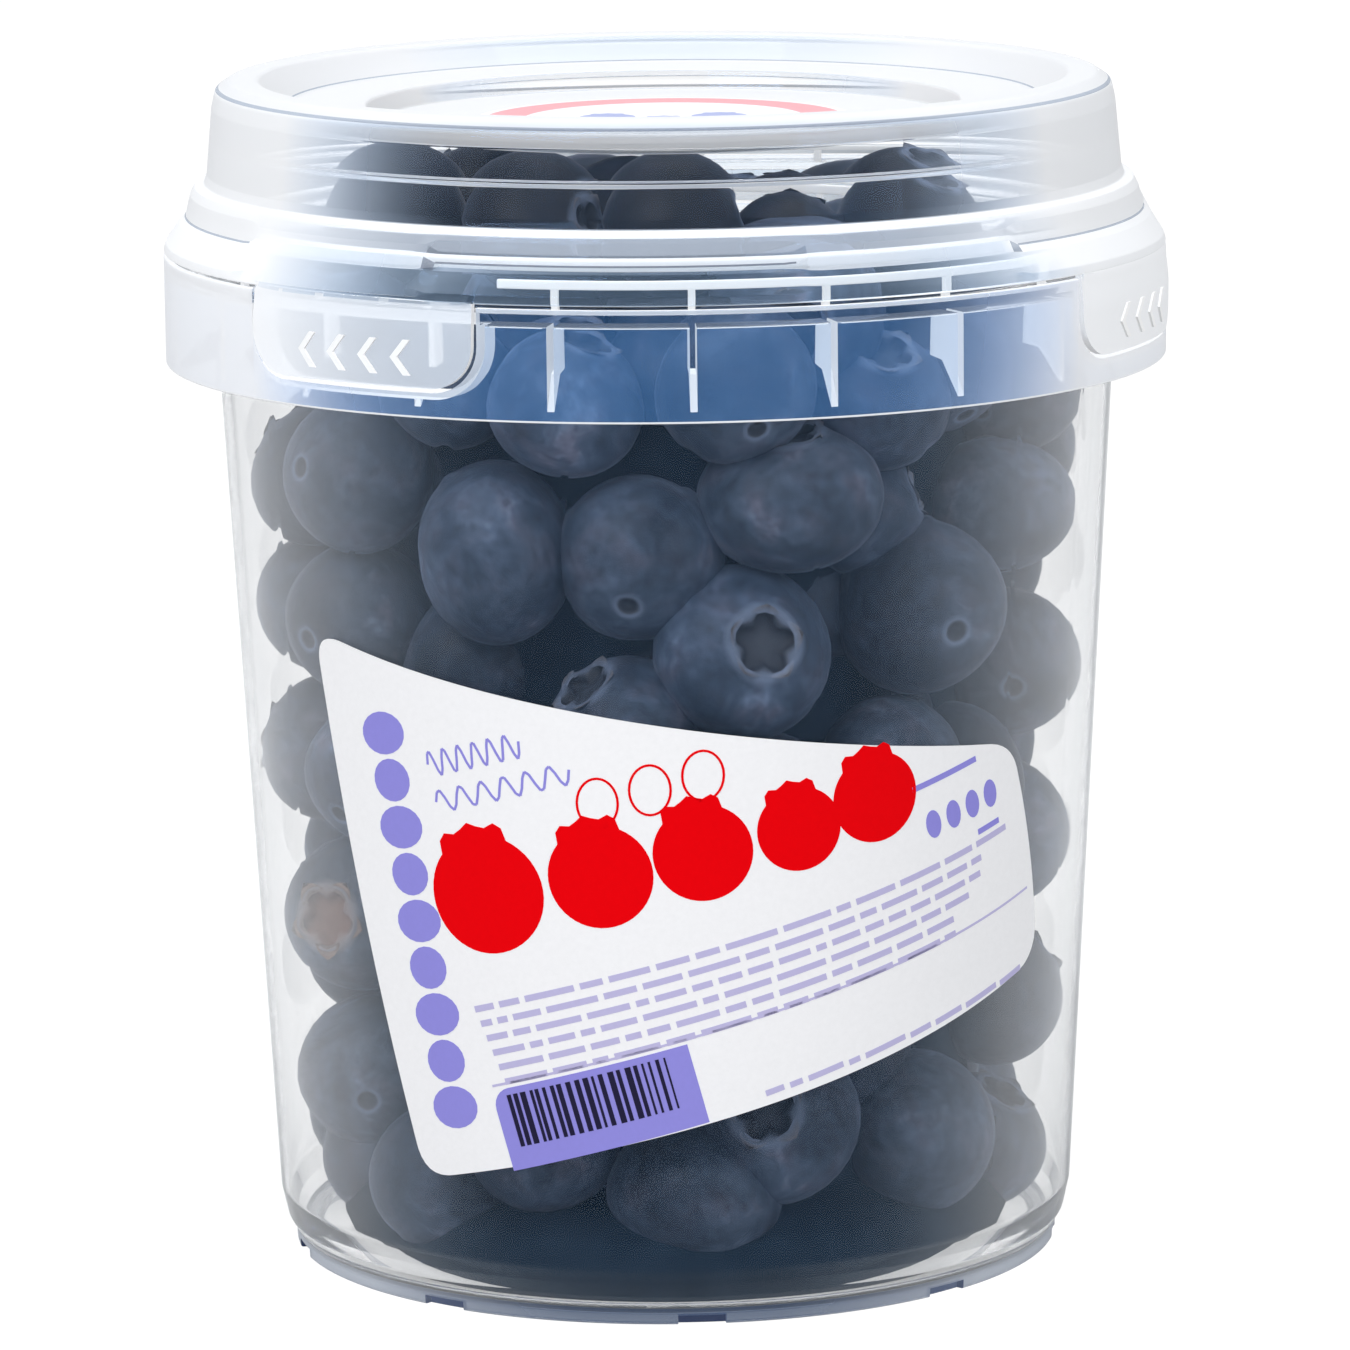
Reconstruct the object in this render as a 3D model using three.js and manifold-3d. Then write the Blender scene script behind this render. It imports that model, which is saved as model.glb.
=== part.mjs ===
// A clear round tub of large blueberries, with a press-on lid, a side label and a lid sticker.
//
// Millimetres, +Z up. The origin is the middle of the foot, where the tub stands.
// A direction round the tub is an azimuth in degrees: 0 faces the front (-Y) and +90 faces +X.

import * as THREE from 'three';
import { mergeVertices } from 'three/addons/utils/BufferGeometryUtils.js';
import Module from 'manifold-3d';

const wasm = await Module();
wasm.setup();

// Roundness: flat sides per turn of the tub and lid, and of one berry.
const TURN_SIDES = 36;
const CORE_SIDES = 12;
const BERRY_SIDES = 6;

// Tub body: a cone of small draft, with a foot ring under it and a rolled lip at its mouth.
const BODY_RADIUS = 47.05;
const BODY_DRAFT = 0.0535;
const WALL = 0.75;
const FOOT_RADIUS = 45.6;
const FOOT_WIDTH = 1.7;
const FLOOR_UNDER = 1.9;
const FLOOR_TOP = 2.7;
const CORNER_TOP = 6.8;
const LIP_TOP = 124.4;
const LIP_RADIUS = 54.9;

// Curtain: the skirt that hangs from the flange and guards the lid's edge.
const CURTAIN_RADIUS = 59;
const CURTAIN_WALL = 0.7;
const CURTAIN_TOP = 119.2;
const CURTAIN_BOTTOM = 106.5;
const FLANGE_BOTTOM = 117.2;
const FLANGE_TOP = 118.5;

// Fins join the body to the curtain under the flange.
const FIN_COUNT = 23;
const FIN_FIRST = 3;
const FIN_THICK = 0.9;
const FIN_FOOT = 107.3;
const FIN_STEP = 112.2;

// Foot windows: shallow notches that let air under the foot ring.
const WINDOW_COUNT = 9;
const WINDOW_FIRST = 3.7;
const WINDOW_SPAN = 7;
const WINDOW_HEIGHT = 1.1;

// Lid: a raised crown with a sunken middle, a gripping shoulder and pull tabs in the curtain.
const LID_TOP = 139.5;
const LID_WALL = 0.8;
const PANEL_TOP = 136.3;
const DISC_TOP = 134;
const DISC_RADIUS = 34.2;
const LID_EDGE = 119.6;
const SHOULDER_COUNT = 5;
const SHOULDER_FIRST = -6.2;
const SHOULDER_SPAN = 45;
const SHOULDER_RADIUS = 56.35;
const SHOULDER_BOTTOM = 123.4;
const SHOULDER_TOP = 127;

const TAB_AZIMUTHS = [-36.7, 68.5, 196];
const TAB_HALF_WIDTH = 15.6;
const TAB_BOTTOM = 109.9;
const TAB_CORNER = 5;
const TAB_FLARE = 0.5;
const TAB_GAP = 0.6;
const POCKET_WALL = 0.8;
const POCKET_RADIUS = 57.4;
const BLOCK_START = 15;
const BLOCK_DEPTH = 50;

// Side label: a paper wrap whose four corners are given as arc length and height.
const LABEL_GAP = 0.3;
const LABEL_THICK = 0.3;
const LABEL_MIDDLE = 47;
const LABEL_WRAP = [10, 85];
const LABEL_CORNERS = [
  { along: -45.4, height: 79, round: 4.5, bow: -1.0 },
  { along: 44.3, height: 64.8, round: 4, bow: 0.4 },
  { along: 51.8, height: 38.6, round: 6, bow: 1.1 },
  { along: -32, height: 15.6, round: 5, bow: 0.8 },
];

const STICKER_RADIUS = 22.4;
const STICKER_GAP = 0.3;
const STICKER_THICK = 0.3;

// Berries: every one is an ellipsoid, flat along its crown axis, kept clear of the wall.
const BERRY_GAP = 0.5;
const SIDE_SWELL = 1.04;
const HEAP_TOP = 106;
const MOUND_TOP = 117;
const MOUND_RADIUS = 31;
const CORE_RADIUS = 37.5;
const DRAW_SEED = 41;

// The drawn berries: rows against the wall, then a level layer in rings, spread until they just touch.
const WALL_ROWS = 7;
const WALL_ROW_COUNT = 13;
const WALL_ROW_FIRST = 12;
const WALL_ROW_RISE = 16.2;
const LEVEL_RINGS = [[0, 1], [17, 6], [33, 11]];
const LEVEL_LOW = 106;
const LEVEL_HIGH = 115;
const TOUCH = 0.93;
const PUSH = 0.4;
const SPREAD_ROUNDS = 80;

const COLOURS = {
  clear: 0xe4ebef,
  berry: 0x39435a,
  paper: 0xf6f6f8,
  sticker: 0xf0c6cc,
};

// The berries that show from the front, one line each: azimuth and height of the middle, radius
// across and along the crown axis, how far it stands back from the wall, and where its crown faces.
const FRONT_BERRIES = [
  { azimuth: -57, height: 96, across: 9.4, along: 8.2, back: 0, faces: [125, -10] },
  { azimuth: -84, height: 93, across: 9, along: 8, back: 1, faces: [-120, 40] },
  { azimuth: -17, height: 106, across: 9, along: 8.4, back: 3, faces: [60, 70] },
  { azimuth: 11, height: 108, across: 9.2, along: 8.2, back: 2, faces: [-160, 30] },
  { azimuth: 38, height: 105, across: 8.8, along: 8, back: 4, faces: [20, 60] },
  { azimuth: 79, height: 104, across: 9, along: 8.2, back: 1, faces: [150, 20] },
  { azimuth: -64, height: 112, across: 8.2, along: 7.4, back: 2, faces: [-20, 80] },
  { azimuth: -40, height: 108, across: 8.6, along: 7.8, back: 4, faces: [100, 40] },
  { azimuth: -29.5, height: 88.5, across: 10.6, along: 8.8, back: 0, faces: [95, 5] },
  { azimuth: -5, height: 88, across: 9.8, along: 8.8, back: 3.5, faces: [170, 30] },
  { azimuth: 20.5, height: 94.8, across: 10.6, along: 8.2, back: 0, faces: [-20, 78] },
  { azimuth: 38, height: 91.5, across: 7.6, along: 7, back: 7, faces: [90, 20] },
  { azimuth: 45.5, height: 80.5, across: 10.2, along: 9.3, back: 0, faces: [207, 10] },
  { azimuth: 72, height: 89.5, across: 10, along: 7.9, back: 0.5, faces: [200, 72] },
  { azimuth: 80, height: 70, across: 9, along: 8.2, back: 0, faces: [185, 12] },
  { azimuth: -60, height: 78.5, across: 9, along: 8.4, back: 0, faces: [133, 10] },
  { azimuth: -86, height: 77.5, across: 8.6, along: 7.8, back: 0.5, faces: [-150, -20] },
  { azimuth: 11.8, height: 77.3, across: 10.2, along: 9.2, back: 0, faces: [18, 16] },
  { azimuth: -8, height: 68, across: 9.2, along: 8.2, back: 1, faces: [-60, 50] },
  { azimuth: 40, height: 61, across: 9.4, along: 8.4, back: 1, faces: [80, -30] },
  { azimuth: -85, height: 60, across: 8.8, along: 8, back: 0, faces: [-100, 10] },
  { azimuth: -63, height: 59.5, across: 8.6, along: 7.8, back: 2, faces: [140, 30] },
  { azimuth: -70, height: 42, across: 9.4, along: 8.6, back: 0, faces: [-30, 6] },
  { azimuth: -74, height: 22, across: 9.4, along: 8.6, back: 0.5, faces: [174, 12] },
  { azimuth: -46, height: 12.2, across: 9.2, along: 8.8, back: 0, faces: [110, 40] },
  { azimuth: -26, height: 19, across: 9.6, along: 8.6, back: 2.5, faces: [-10, 66] },
  { azimuth: 3.5, height: 11.8, across: 10.3, along: 8.4, back: 0, faces: [150, 55] },
  { azimuth: 18.5, height: 21.5, across: 10, along: 9, back: 1, faces: [-8, 20] },
  { azimuth: 50, height: 17, across: 9.8, along: 9, back: 0, faces: [120, -20] },
  { azimuth: 80, height: 30, across: 9, along: 8.4, back: 0, faces: [110, 35] },
  { azimuth: 79, height: 49.5, across: 9, along: 8.2, back: 0, faces: [160, -25] },
  { azimuth: 78, height: 12, across: 8.4, along: 7.8, back: 1, faces: [60, 60] },
  { azimuth: -77, height: 11.6, across: 8.2, along: 7.6, back: 3, faces: [-60, 60] },
];

// The loose berries that lie highest, up under the lid's sunken disc.
const TOP_BERRIES = [
  { azimuth: -65, radius: 34, height: 124, across: 8.7, along: 7.9, faces: [150, 30] },
  { azimuth: -30, radius: 30, height: 124.2, across: 8.6, along: 8, faces: [-40, 25] },
  { azimuth: 2, radius: 28, height: 124, across: 8.8, along: 8.2, faces: [10, 0] },
  { azimuth: 38, radius: 23, height: 121, across: 7.4, along: 6.8, faces: [160, 60] },
  { azimuth: 60, radius: 32.5, height: 122.6, across: 8.8, along: 8.2, faces: [60, 65] },
  { azimuth: -115, radius: 24, height: 120, across: 8.8, along: 8, faces: [-115, 30] },
  { azimuth: -16, radius: 15, height: 121.5, across: 8.6, along: 8, faces: [-160, 20] },
];

const ring = (azimuth, radius) => {
  const angle = THREE.MathUtils.degToRad(azimuth);
  return [radius * Math.sin(angle), -radius * Math.cos(angle)];
};

const bodyRadius = (height) => BODY_RADIUS + BODY_DRAFT * height;

// A three.js geometry as a solid, with its shared corners welded and its pole slivers dropped.
function solidFrom(geometry) {
  const bare = geometry.clone();
  bare.deleteAttribute('normal');
  bare.deleteAttribute('uv');
  const welded = mergeVertices(bare, 1e-4);
  const corners = welded.index.array;
  const kept = [];
  for (let i = 0; i < corners.length; i += 3) {
    const [a, b, c] = corners.slice(i, i + 3);
    if (a !== b && b !== c && c !== a) kept.push(a, b, c);
  }
  return new wasm.Manifold(new wasm.Mesh({
    numProp: 3,
    vertProperties: welded.attributes.position.array,
    triVerts: Uint32Array.from(kept),
  }));
}

function meshFrom(name, solid, material) {
  const result = solid.getMesh();
  const geometry = new THREE.BufferGeometry();
  geometry.setAttribute('position', new THREE.BufferAttribute(result.vertProperties, 3));
  geometry.setIndex(new THREE.BufferAttribute(result.triVerts, 1));
  geometry.computeVertexNormals();
  const mesh = new THREE.Mesh(geometry, material);
  mesh.name = name;
  return mesh;
}

// A turned solid from [radius, height] points, listed up the outside and down the inside.
function turned(profile, sides = TURN_SIDES) {
  const points = profile.map(([radius, height]) => new THREE.Vector2(radius, height));
  return solidFrom(new THREE.LatheGeometry(points, sides).rotateX(Math.PI / 2));
}

// A plate drawn in a plane through the axis, as thick as given, standing at an azimuth.
function radialPlate(profile, thickness, azimuth) {
  const shape = new THREE.Shape(profile.map(([radius, height]) => new THREE.Vector2(radius, height)));
  const plate = new THREE.ExtrudeGeometry(shape, { depth: thickness, bevelEnabled: false });
  plate.translate(0, 0, -thickness / 2);
  plate.rotateX(Math.PI / 2);
  plate.rotateZ(THREE.MathUtils.degToRad(azimuth - 90));
  return solidFrom(plate);
}

// The closed outline of a plain ring, for turning.
function band(inner, outer, bottom, top) {
  return [[inner, bottom], [outer, bottom], [outer, top], [inner, top], [inner, bottom]];
}

// A deep block whose outline faces an azimuth, for cutting a shape through a wall of the tub.
function facingBlock(shape, azimuth) {
  const block = new THREE.ExtrudeGeometry(shape, {
    depth: BLOCK_DEPTH,
    bevelEnabled: false,
    curveSegments: 4,
  });
  block.translate(0, 0, BLOCK_START);
  block.rotateX(Math.PI / 2);
  block.rotateZ(THREE.MathUtils.degToRad(azimuth));
  return solidFrom(block);
}

// The outline of a pull tab, open at the top: straight sides with round lower corners.
function tabOutline(grow, top) {
  const half = TAB_HALF_WIDTH + grow;
  const corner = TAB_CORNER + grow;
  const bottom = TAB_BOTTOM - grow;
  const shape = new THREE.Shape();
  shape.moveTo(half, top);
  shape.lineTo(-half, top);
  shape.lineTo(-half, bottom + corner);
  shape.absarc(-half + corner, bottom + corner, corner, Math.PI, Math.PI * 1.5, false);
  shape.lineTo(half - corner, bottom);
  shape.absarc(half - corner, bottom + corner, corner, Math.PI * 1.5, Math.PI * 2, false);
  shape.lineTo(half, top);
  return shape;
}

// A wedge of the turn as tall as the lid, for cutting one stretch out of a ring.
function sector(azimuth, span) {
  const length = CURTAIN_RADIUS + 3;
  const half = length * Math.tan(THREE.MathUtils.degToRad(span / 2));
  const shape = new THREE.Shape([
    new THREE.Vector2(0, 0),
    new THREE.Vector2(length, -half),
    new THREE.Vector2(length, half),
  ]);
  const wedge = new THREE.ExtrudeGeometry(shape, { depth: LID_TOP, bevelEnabled: false });
  wedge.rotateZ(THREE.MathUtils.degToRad(azimuth - 90));
  return solidFrom(wedge);
}

function makeTub(material) {
  const shell = turned([
    [0, FLOOR_UNDER],
    [FOOT_RADIUS - FOOT_WIDTH, FLOOR_UNDER],
    [FOOT_RADIUS - FOOT_WIDTH, 0],
    [FOOT_RADIUS, 0],
    [FOOT_RADIUS + 0.1, FLOOR_UNDER],
    [FOOT_RADIUS + 1.1, 3.6],
    [bodyRadius(CORNER_TOP), CORNER_TOP],
    [bodyRadius(FLANGE_BOTTOM), FLANGE_BOTTOM],
    [CURTAIN_RADIUS - CURTAIN_WALL, FLANGE_BOTTOM],
    [CURTAIN_RADIUS - CURTAIN_WALL, CURTAIN_BOTTOM],
    [CURTAIN_RADIUS, CURTAIN_BOTTOM],
    [CURTAIN_RADIUS, CURTAIN_TOP],
    [CURTAIN_RADIUS - CURTAIN_WALL, CURTAIN_TOP],
    [CURTAIN_RADIUS - CURTAIN_WALL - 0.4, FLANGE_TOP],
    [LIP_RADIUS - 1, FLANGE_TOP],
    [LIP_RADIUS - 0.9, LIP_TOP - 1.9],
    [LIP_RADIUS, LIP_TOP - 1.5],
    [LIP_RADIUS - 0.5, LIP_TOP],
    [bodyRadius(LIP_TOP) - WALL, LIP_TOP],
    [bodyRadius(CORNER_TOP) - WALL, CORNER_TOP],
    [FOOT_RADIUS - 1.2, FLOOR_TOP + 0.6],
    [FOOT_RADIUS - 3, FLOOR_TOP],
    [0, FLOOR_TOP],
  ]);
  const finRoot = bodyRadius(FIN_STEP) - WALL / 2;
  const finEdge = CURTAIN_RADIUS - CURTAIN_WALL / 2;
  const finProfile = [
    [finRoot, FIN_STEP],
    [LIP_RADIUS + 0.4, FIN_STEP - 0.5],
    [finEdge, FIN_FOOT],
    [finEdge, (FLANGE_BOTTOM + FLANGE_TOP) / 2],
    [finRoot, (FLANGE_BOTTOM + FLANGE_TOP) / 2],
  ];
  const parts = [shell];
  for (let i = 0; i < FIN_COUNT; i += 1) {
    parts.push(radialPlate(finProfile, FIN_THICK, FIN_FIRST + (i * 360) / FIN_COUNT));
  }
  let tub = wasm.Manifold.union(parts);

  // Each tab has a pocket: a hole through the curtain with a wall round its sides and bottom.
  const pocketTop = FLANGE_TOP - 0.4;
  const behind = turned(band(LIP_RADIUS + 0.3, CURTAIN_RADIUS - CURTAIN_WALL / 2, CURTAIN_BOTTOM, pocketTop));
  const through = turned(band(POCKET_RADIUS, CURTAIN_RADIUS + 2, CURTAIN_BOTTOM, CURTAIN_TOP + 1));
  for (const azimuth of TAB_AZIMUTHS) {
    const wall = facingBlock(tabOutline(TAB_GAP + POCKET_WALL, pocketTop), azimuth);
    const hollow = facingBlock(tabOutline(TAB_GAP, FLANGE_BOTTOM + 0.5), azimuth);
    const opening = facingBlock(tabOutline(TAB_GAP, CURTAIN_TOP + 1), azimuth);
    tub = tub.add(wall.intersect(behind).subtract(hollow));
    tub = tub.subtract(opening.intersect(through));
  }

  for (let i = 0; i < WINDOW_COUNT; i += 1) {
    const azimuth = WINDOW_FIRST + (i * 360) / WINDOW_COUNT;
    const half = FOOT_RADIUS * Math.sin(THREE.MathUtils.degToRad(WINDOW_SPAN / 2));
    const shape = new THREE.Shape([
      new THREE.Vector2(-half, -1),
      new THREE.Vector2(half, -1),
      new THREE.Vector2(half - 0.4, WINDOW_HEIGHT),
      new THREE.Vector2(-half + 0.4, WINDOW_HEIGHT),
    ]);
    tub = tub.subtract(facingBlock(shape, azimuth));
  }
  return meshFrom('tub', tub, material);
}

function makeLid(material) {
  const edgeRadius = CURTAIN_RADIUS;
  let lid = turned([
    [0, DISC_TOP - LID_WALL],
    [DISC_RADIUS + 0.6, DISC_TOP - LID_WALL],
    [DISC_RADIUS + 1.3, PANEL_TOP - LID_WALL],
    [44.3, PANEL_TOP - LID_WALL],
    [47.9, LID_TOP - LID_WALL],
    [50.6, LID_TOP - LID_WALL],
    [51.9, LID_TOP - 1.7],
    [52.3, PANEL_TOP],
    [53, 126.5],
    [54.3, 126.3],
    [54.7, 125.6],
    [edgeRadius - 1, LID_EDGE],
    [edgeRadius, LID_EDGE],
    [55.7, 126.1],
    [55.1, 127.2],
    [54, 127.5],
    [53.75, 128.6],
    [53.05, PANEL_TOP],
    [52.6, LID_TOP - 1.1],
    [50.9, LID_TOP],
    [47.6, LID_TOP],
    [44, PANEL_TOP],
    [DISC_RADIUS + 0.7, PANEL_TOP],
    [DISC_RADIUS - 0.1, DISC_TOP],
    [0, DISC_TOP],
  ]);

  // Five flats round the shoulder, where the rim is drawn in to a straight wall.
  const flat = turned(band(SHOULDER_RADIUS, CURTAIN_RADIUS + 2, SHOULDER_BOTTOM, SHOULDER_TOP));
  for (let i = 0; i < SHOULDER_COUNT; i += 1) {
    const azimuth = SHOULDER_FIRST + (i * 360) / SHOULDER_COUNT;
    lid = lid.subtract(flat.intersect(sector(azimuth, SHOULDER_SPAN)));
  }

  const inner = CURTAIN_RADIUS - CURTAIN_WALL;
  const tabRing = turned([
    [inner, TAB_BOTTOM - 1],
    [CURTAIN_RADIUS + TAB_FLARE, TAB_BOTTOM - 1],
    [CURTAIN_RADIUS + TAB_FLARE, 115],
    [CURTAIN_RADIUS, LID_EDGE],
    [CURTAIN_RADIUS - 0.2, LID_EDGE + 0.4],
    [inner, LID_EDGE + 0.4],
    [inner, TAB_BOTTOM - 1],
  ]);
  for (const azimuth of TAB_AZIMUTHS) {
    lid = lid.add(tabRing.intersect(facingBlock(tabOutline(0, LID_EDGE + 1.4), azimuth)));
  }
  return meshFrom('lid', lid, material);
}

// Seeded draw of even numbers from 0 to 1.
function makeDraw(seed) {
  let state = seed;
  return () => {
    state = (Math.imul(state, 1664525) + 1013904223) >>> 0;
    return state / 4294967296;
  };
}

function direction([azimuth, lift]) {
  const up = THREE.MathUtils.degToRad(lift);
  const [x, y] = ring(azimuth, Math.cos(up));
  return new THREE.Vector3(x, y, Math.sin(up));
}

// How far a berry reaches from its middle along a unit vector.
function reach(berry, unit) {
  const share = direction(berry.faces).dot(unit) ** 2;
  return Math.sqrt(berry.across ** 2 * (1 - share) + berry.along ** 2 * share) * SIDE_SWELL;
}

// The middle of a berry that leans on the wall, held up by the floor.
function seatOnWall(berry) {
  const outward = direction([berry.azimuth, 0]);
  const floor = FLOOR_TOP + BERRY_GAP + reach(berry, new THREE.Vector3(0, 0, 1));
  const height = Math.max(berry.height, floor);
  const low = height - reach(berry, new THREE.Vector3(0, 0, 1)) / 3;
  const radius = bodyRadius(low) - WALL - BERRY_GAP - reach(berry, outward) - berry.back;
  const [x, y] = ring(berry.azimuth, radius);
  return new THREE.Vector3(x, y, height);
}

function drawBerry(draw, azimuth, height) {
  const across = 8.6 + 1.6 * draw();
  return {
    azimuth,
    height,
    across,
    along: across * (0.82 + 0.12 * draw()),
    back: 1.5 * draw(),
    faces: [azimuth + 300 * (draw() - 0.5), 120 * (draw() - 0.4)],
  };
}

// Pushes the berries from a place in the list onwards apart, and seats each one again as it moves.
function spread(berries, fixed, seat) {
  for (let round = 0; round < SPREAD_ROUNDS; round += 1) {
    for (let i = fixed; i < berries.length; i += 1) {
      const berry = berries[i];
      const push = new THREE.Vector3();
      for (let j = 0; j < berries.length; j += 1) {
        if (j === i) continue;
        const apart = berry.middle.clone().sub(berries[j].middle);
        const overlap = TOUCH * (berry.across + berries[j].across) - apart.length();
        if (overlap > 0) push.add(apart.setLength(overlap * PUSH));
      }
      seat(berry, berry.middle.clone().add(push));
    }
  }
}

function leanOnWall(berry, moved) {
  berry.azimuth = THREE.MathUtils.radToDeg(Math.atan2(moved.x, -moved.y));
  berry.height = Math.min(moved.z, HEAP_TOP + 4);
  berry.middle = seatOnWall(berry);
}

function keepLevel(berry, moved) {
  const height = THREE.MathUtils.clamp(moved.z, LEVEL_LOW, LEVEL_HIGH);
  const furthest = bodyRadius(height) - WALL - BERRY_GAP - berry.across * SIDE_SWELL;
  const share = Math.min(1, furthest / Math.max(1, Math.hypot(moved.x, moved.y)));
  berry.middle = new THREE.Vector3(moved.x * share, moved.y * share, height);
}

// Berries against the wall: the front ones stay put, and the drawn ones spread out round them.
function wallBerries(draw) {
  const berries = FRONT_BERRIES.map((berry) => ({ ...berry, middle: seatOnWall(berry) }));
  const fixed = berries.length;
  for (let row = 0; row < WALL_ROWS; row += 1) {
    for (let i = 0; i < WALL_ROW_COUNT; i += 1) {
      const azimuth = ((i + 0.5 * (row % 2) + 0.3 * draw()) * 360) / WALL_ROW_COUNT;
      const berry = drawBerry(draw, azimuth, WALL_ROW_FIRST + row * WALL_ROW_RISE + 2 * draw());
      const middle = seatOnWall(berry);
      const crowded = berries.some((other, index) => {
        const touch = (berry.across + other.across) * (index < fixed ? 0.8 : 0.5);
        return middle.distanceTo(other.middle) < touch;
      });
      if (!crowded) berries.push({ ...berry, middle });
    }
  }
  spread(berries, fixed, leanOnWall);
  return berries;
}

// All the berries: those on the wall, the few that lie highest, and the level layer that closes the heap.
function allBerries(draw) {
  const berries = wallBerries(draw);
  for (const berry of TOP_BERRIES) {
    const [x, y] = ring(berry.azimuth, berry.radius);
    berries.push({ ...berry, middle: new THREE.Vector3(x, y, berry.height) });
  }
  const fixed = berries.length;
  for (const [radius, count] of LEVEL_RINGS) {
    for (let i = 0; i < count; i += 1) {
      const azimuth = ((i + 0.4 * draw()) * 360) / count + radius;
      const berry = drawBerry(draw, azimuth, 109 + 3 * draw());
      const [x, y] = ring(azimuth, radius);
      berries.push({ ...berry, middle: new THREE.Vector3(x, y, berry.height) });
    }
  }
  spread(berries, fixed, keepLevel);
  return berries;
}

// One berry with few sides: stem end at the bottom, a sunk crown at the top.
function berrySolid(berry) {
  const outline = [[0, -1], [0.76, -0.64], [1, 0.04], [0.62, 0.8], [0, 0.72]];
  const points = outline.map(([across, along]) => (
    new THREE.Vector2(across * berry.across * SIDE_SWELL, along * berry.along)
  ));
  const form = new THREE.LatheGeometry(points, BERRY_SIDES);
  const turn = new THREE.Quaternion().setFromUnitVectors(
    new THREE.Vector3(0, 1, 0),
    direction(berry.faces),
  );
  form.applyQuaternion(turn);
  form.translate(berry.middle.x, berry.middle.y, berry.middle.z);
  return solidFrom(form);
}

function makeBerries(material) {
  const draw = makeDraw(DRAW_SEED);
  const core = turned([
    [0, 9],
    [CORE_RADIUS - 4, 9],
    [CORE_RADIUS, 14],
    [CORE_RADIUS + 1.5, HEAP_TOP - 4],
    [CORE_RADIUS, HEAP_TOP + 4],
    [MOUND_RADIUS, MOUND_TOP],
    [0, MOUND_TOP],
  ], CORE_SIDES);
  const heap = wasm.Manifold.union([core, ...allBerries(draw).map(berrySolid)]);
  return meshFrom('berries', heap, material);
}

// The label's outline as points in arc length and height: bowed edges with round corners.
function labelOutline() {
  const corners = LABEL_CORNERS.map(({ along, height }) => new THREE.Vector2(along, height));
  const shape = new THREE.Shape();
  const count = corners.length;
  for (let i = 0; i < count; i += 1) {
    const corner = corners[i];
    const before = corners[(i + count - 1) % count];
    const after = corners[(i + 1) % count];
    const { round } = LABEL_CORNERS[i];
    const enter = corner.clone().add(before.clone().sub(corner).setLength(round));
    const leave = corner.clone().add(after.clone().sub(corner).setLength(round));
    const nextRound = LABEL_CORNERS[(i + 1) % count].round;
    const arrive = after.clone().add(corner.clone().sub(after).setLength(nextRound));
    if (i === 0) shape.moveTo(enter.x, enter.y);
    shape.quadraticCurveTo(corner.x, corner.y, leave.x, leave.y);
    const edge = arrive.clone().sub(leave);
    const outward = new THREE.Vector2(-edge.y, edge.x).setLength(2 * LABEL_CORNERS[i].bow);
    const control = leave.clone().add(arrive).multiplyScalar(0.5).add(outward);
    shape.quadraticCurveTo(control.x, control.y, arrive.x, arrive.y);
  }
  return shape.getSpacedPoints(64).slice(0, -1);
}

function makeLabel(material) {
  const inner = BODY_RADIUS + LABEL_GAP;
  const outer = inner + LABEL_THICK;
  const [low, high] = LABEL_WRAP;
  const wrap = turned([
    [inner + BODY_DRAFT * low, low],
    [outer + BODY_DRAFT * low, low],
    [outer + BODY_DRAFT * high, high],
    [inner + BODY_DRAFT * high, high],
    [inner + BODY_DRAFT * low, low],
  ]);
  const middleRadius = bodyRadius(LABEL_MIDDLE);
  const seen = labelOutline().map((point) => {
    const [x] = ring(THREE.MathUtils.radToDeg(point.x / middleRadius), bodyRadius(point.y));
    return new THREE.Vector2(x, point.y);
  });
  const window = facingBlock(new THREE.Shape(seen), 0);
  return meshFrom('side_label', wrap.intersect(window), material);
}

function makeSticker(material) {
  const disc = new THREE.CylinderGeometry(STICKER_RADIUS, STICKER_RADIUS, STICKER_THICK, TURN_SIDES);
  disc.rotateX(Math.PI / 2);
  disc.translate(0, 0, DISC_TOP + STICKER_GAP + STICKER_THICK / 2);
  return meshFrom('lid_sticker', solidFrom(disc), material);
}

const clearPlastic = new THREE.MeshStandardMaterial({
  color: COLOURS.clear,
  roughness: 0.15,
  metalness: 0,
  transparent: true,
  opacity: 0.35,
});
const berrySkin = new THREE.MeshStandardMaterial({ color: COLOURS.berry, roughness: 0.6 });
const labelPaper = new THREE.MeshStandardMaterial({ color: COLOURS.paper, roughness: 0.5 });
const stickerPaper = new THREE.MeshStandardMaterial({ color: COLOURS.sticker, roughness: 0.5 });

const punnet = new THREE.Group();
punnet.add(
  makeTub(clearPlastic),
  makeLid(clearPlastic),
  makeBerries(berrySkin),
  makeLabel(labelPaper),
  makeSticker(stickerPaper),
);

export default punnet;
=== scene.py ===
# A clear round tub of large blueberries, shut with its press-on lid, with a paper label round the
# front and a sticker on the lid. Shapes are worked out in millimetres and made in metres.
from math import asin, atan2, ceil, cos, degrees, hypot, pi, radians, sin, sqrt, tan, tau

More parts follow.
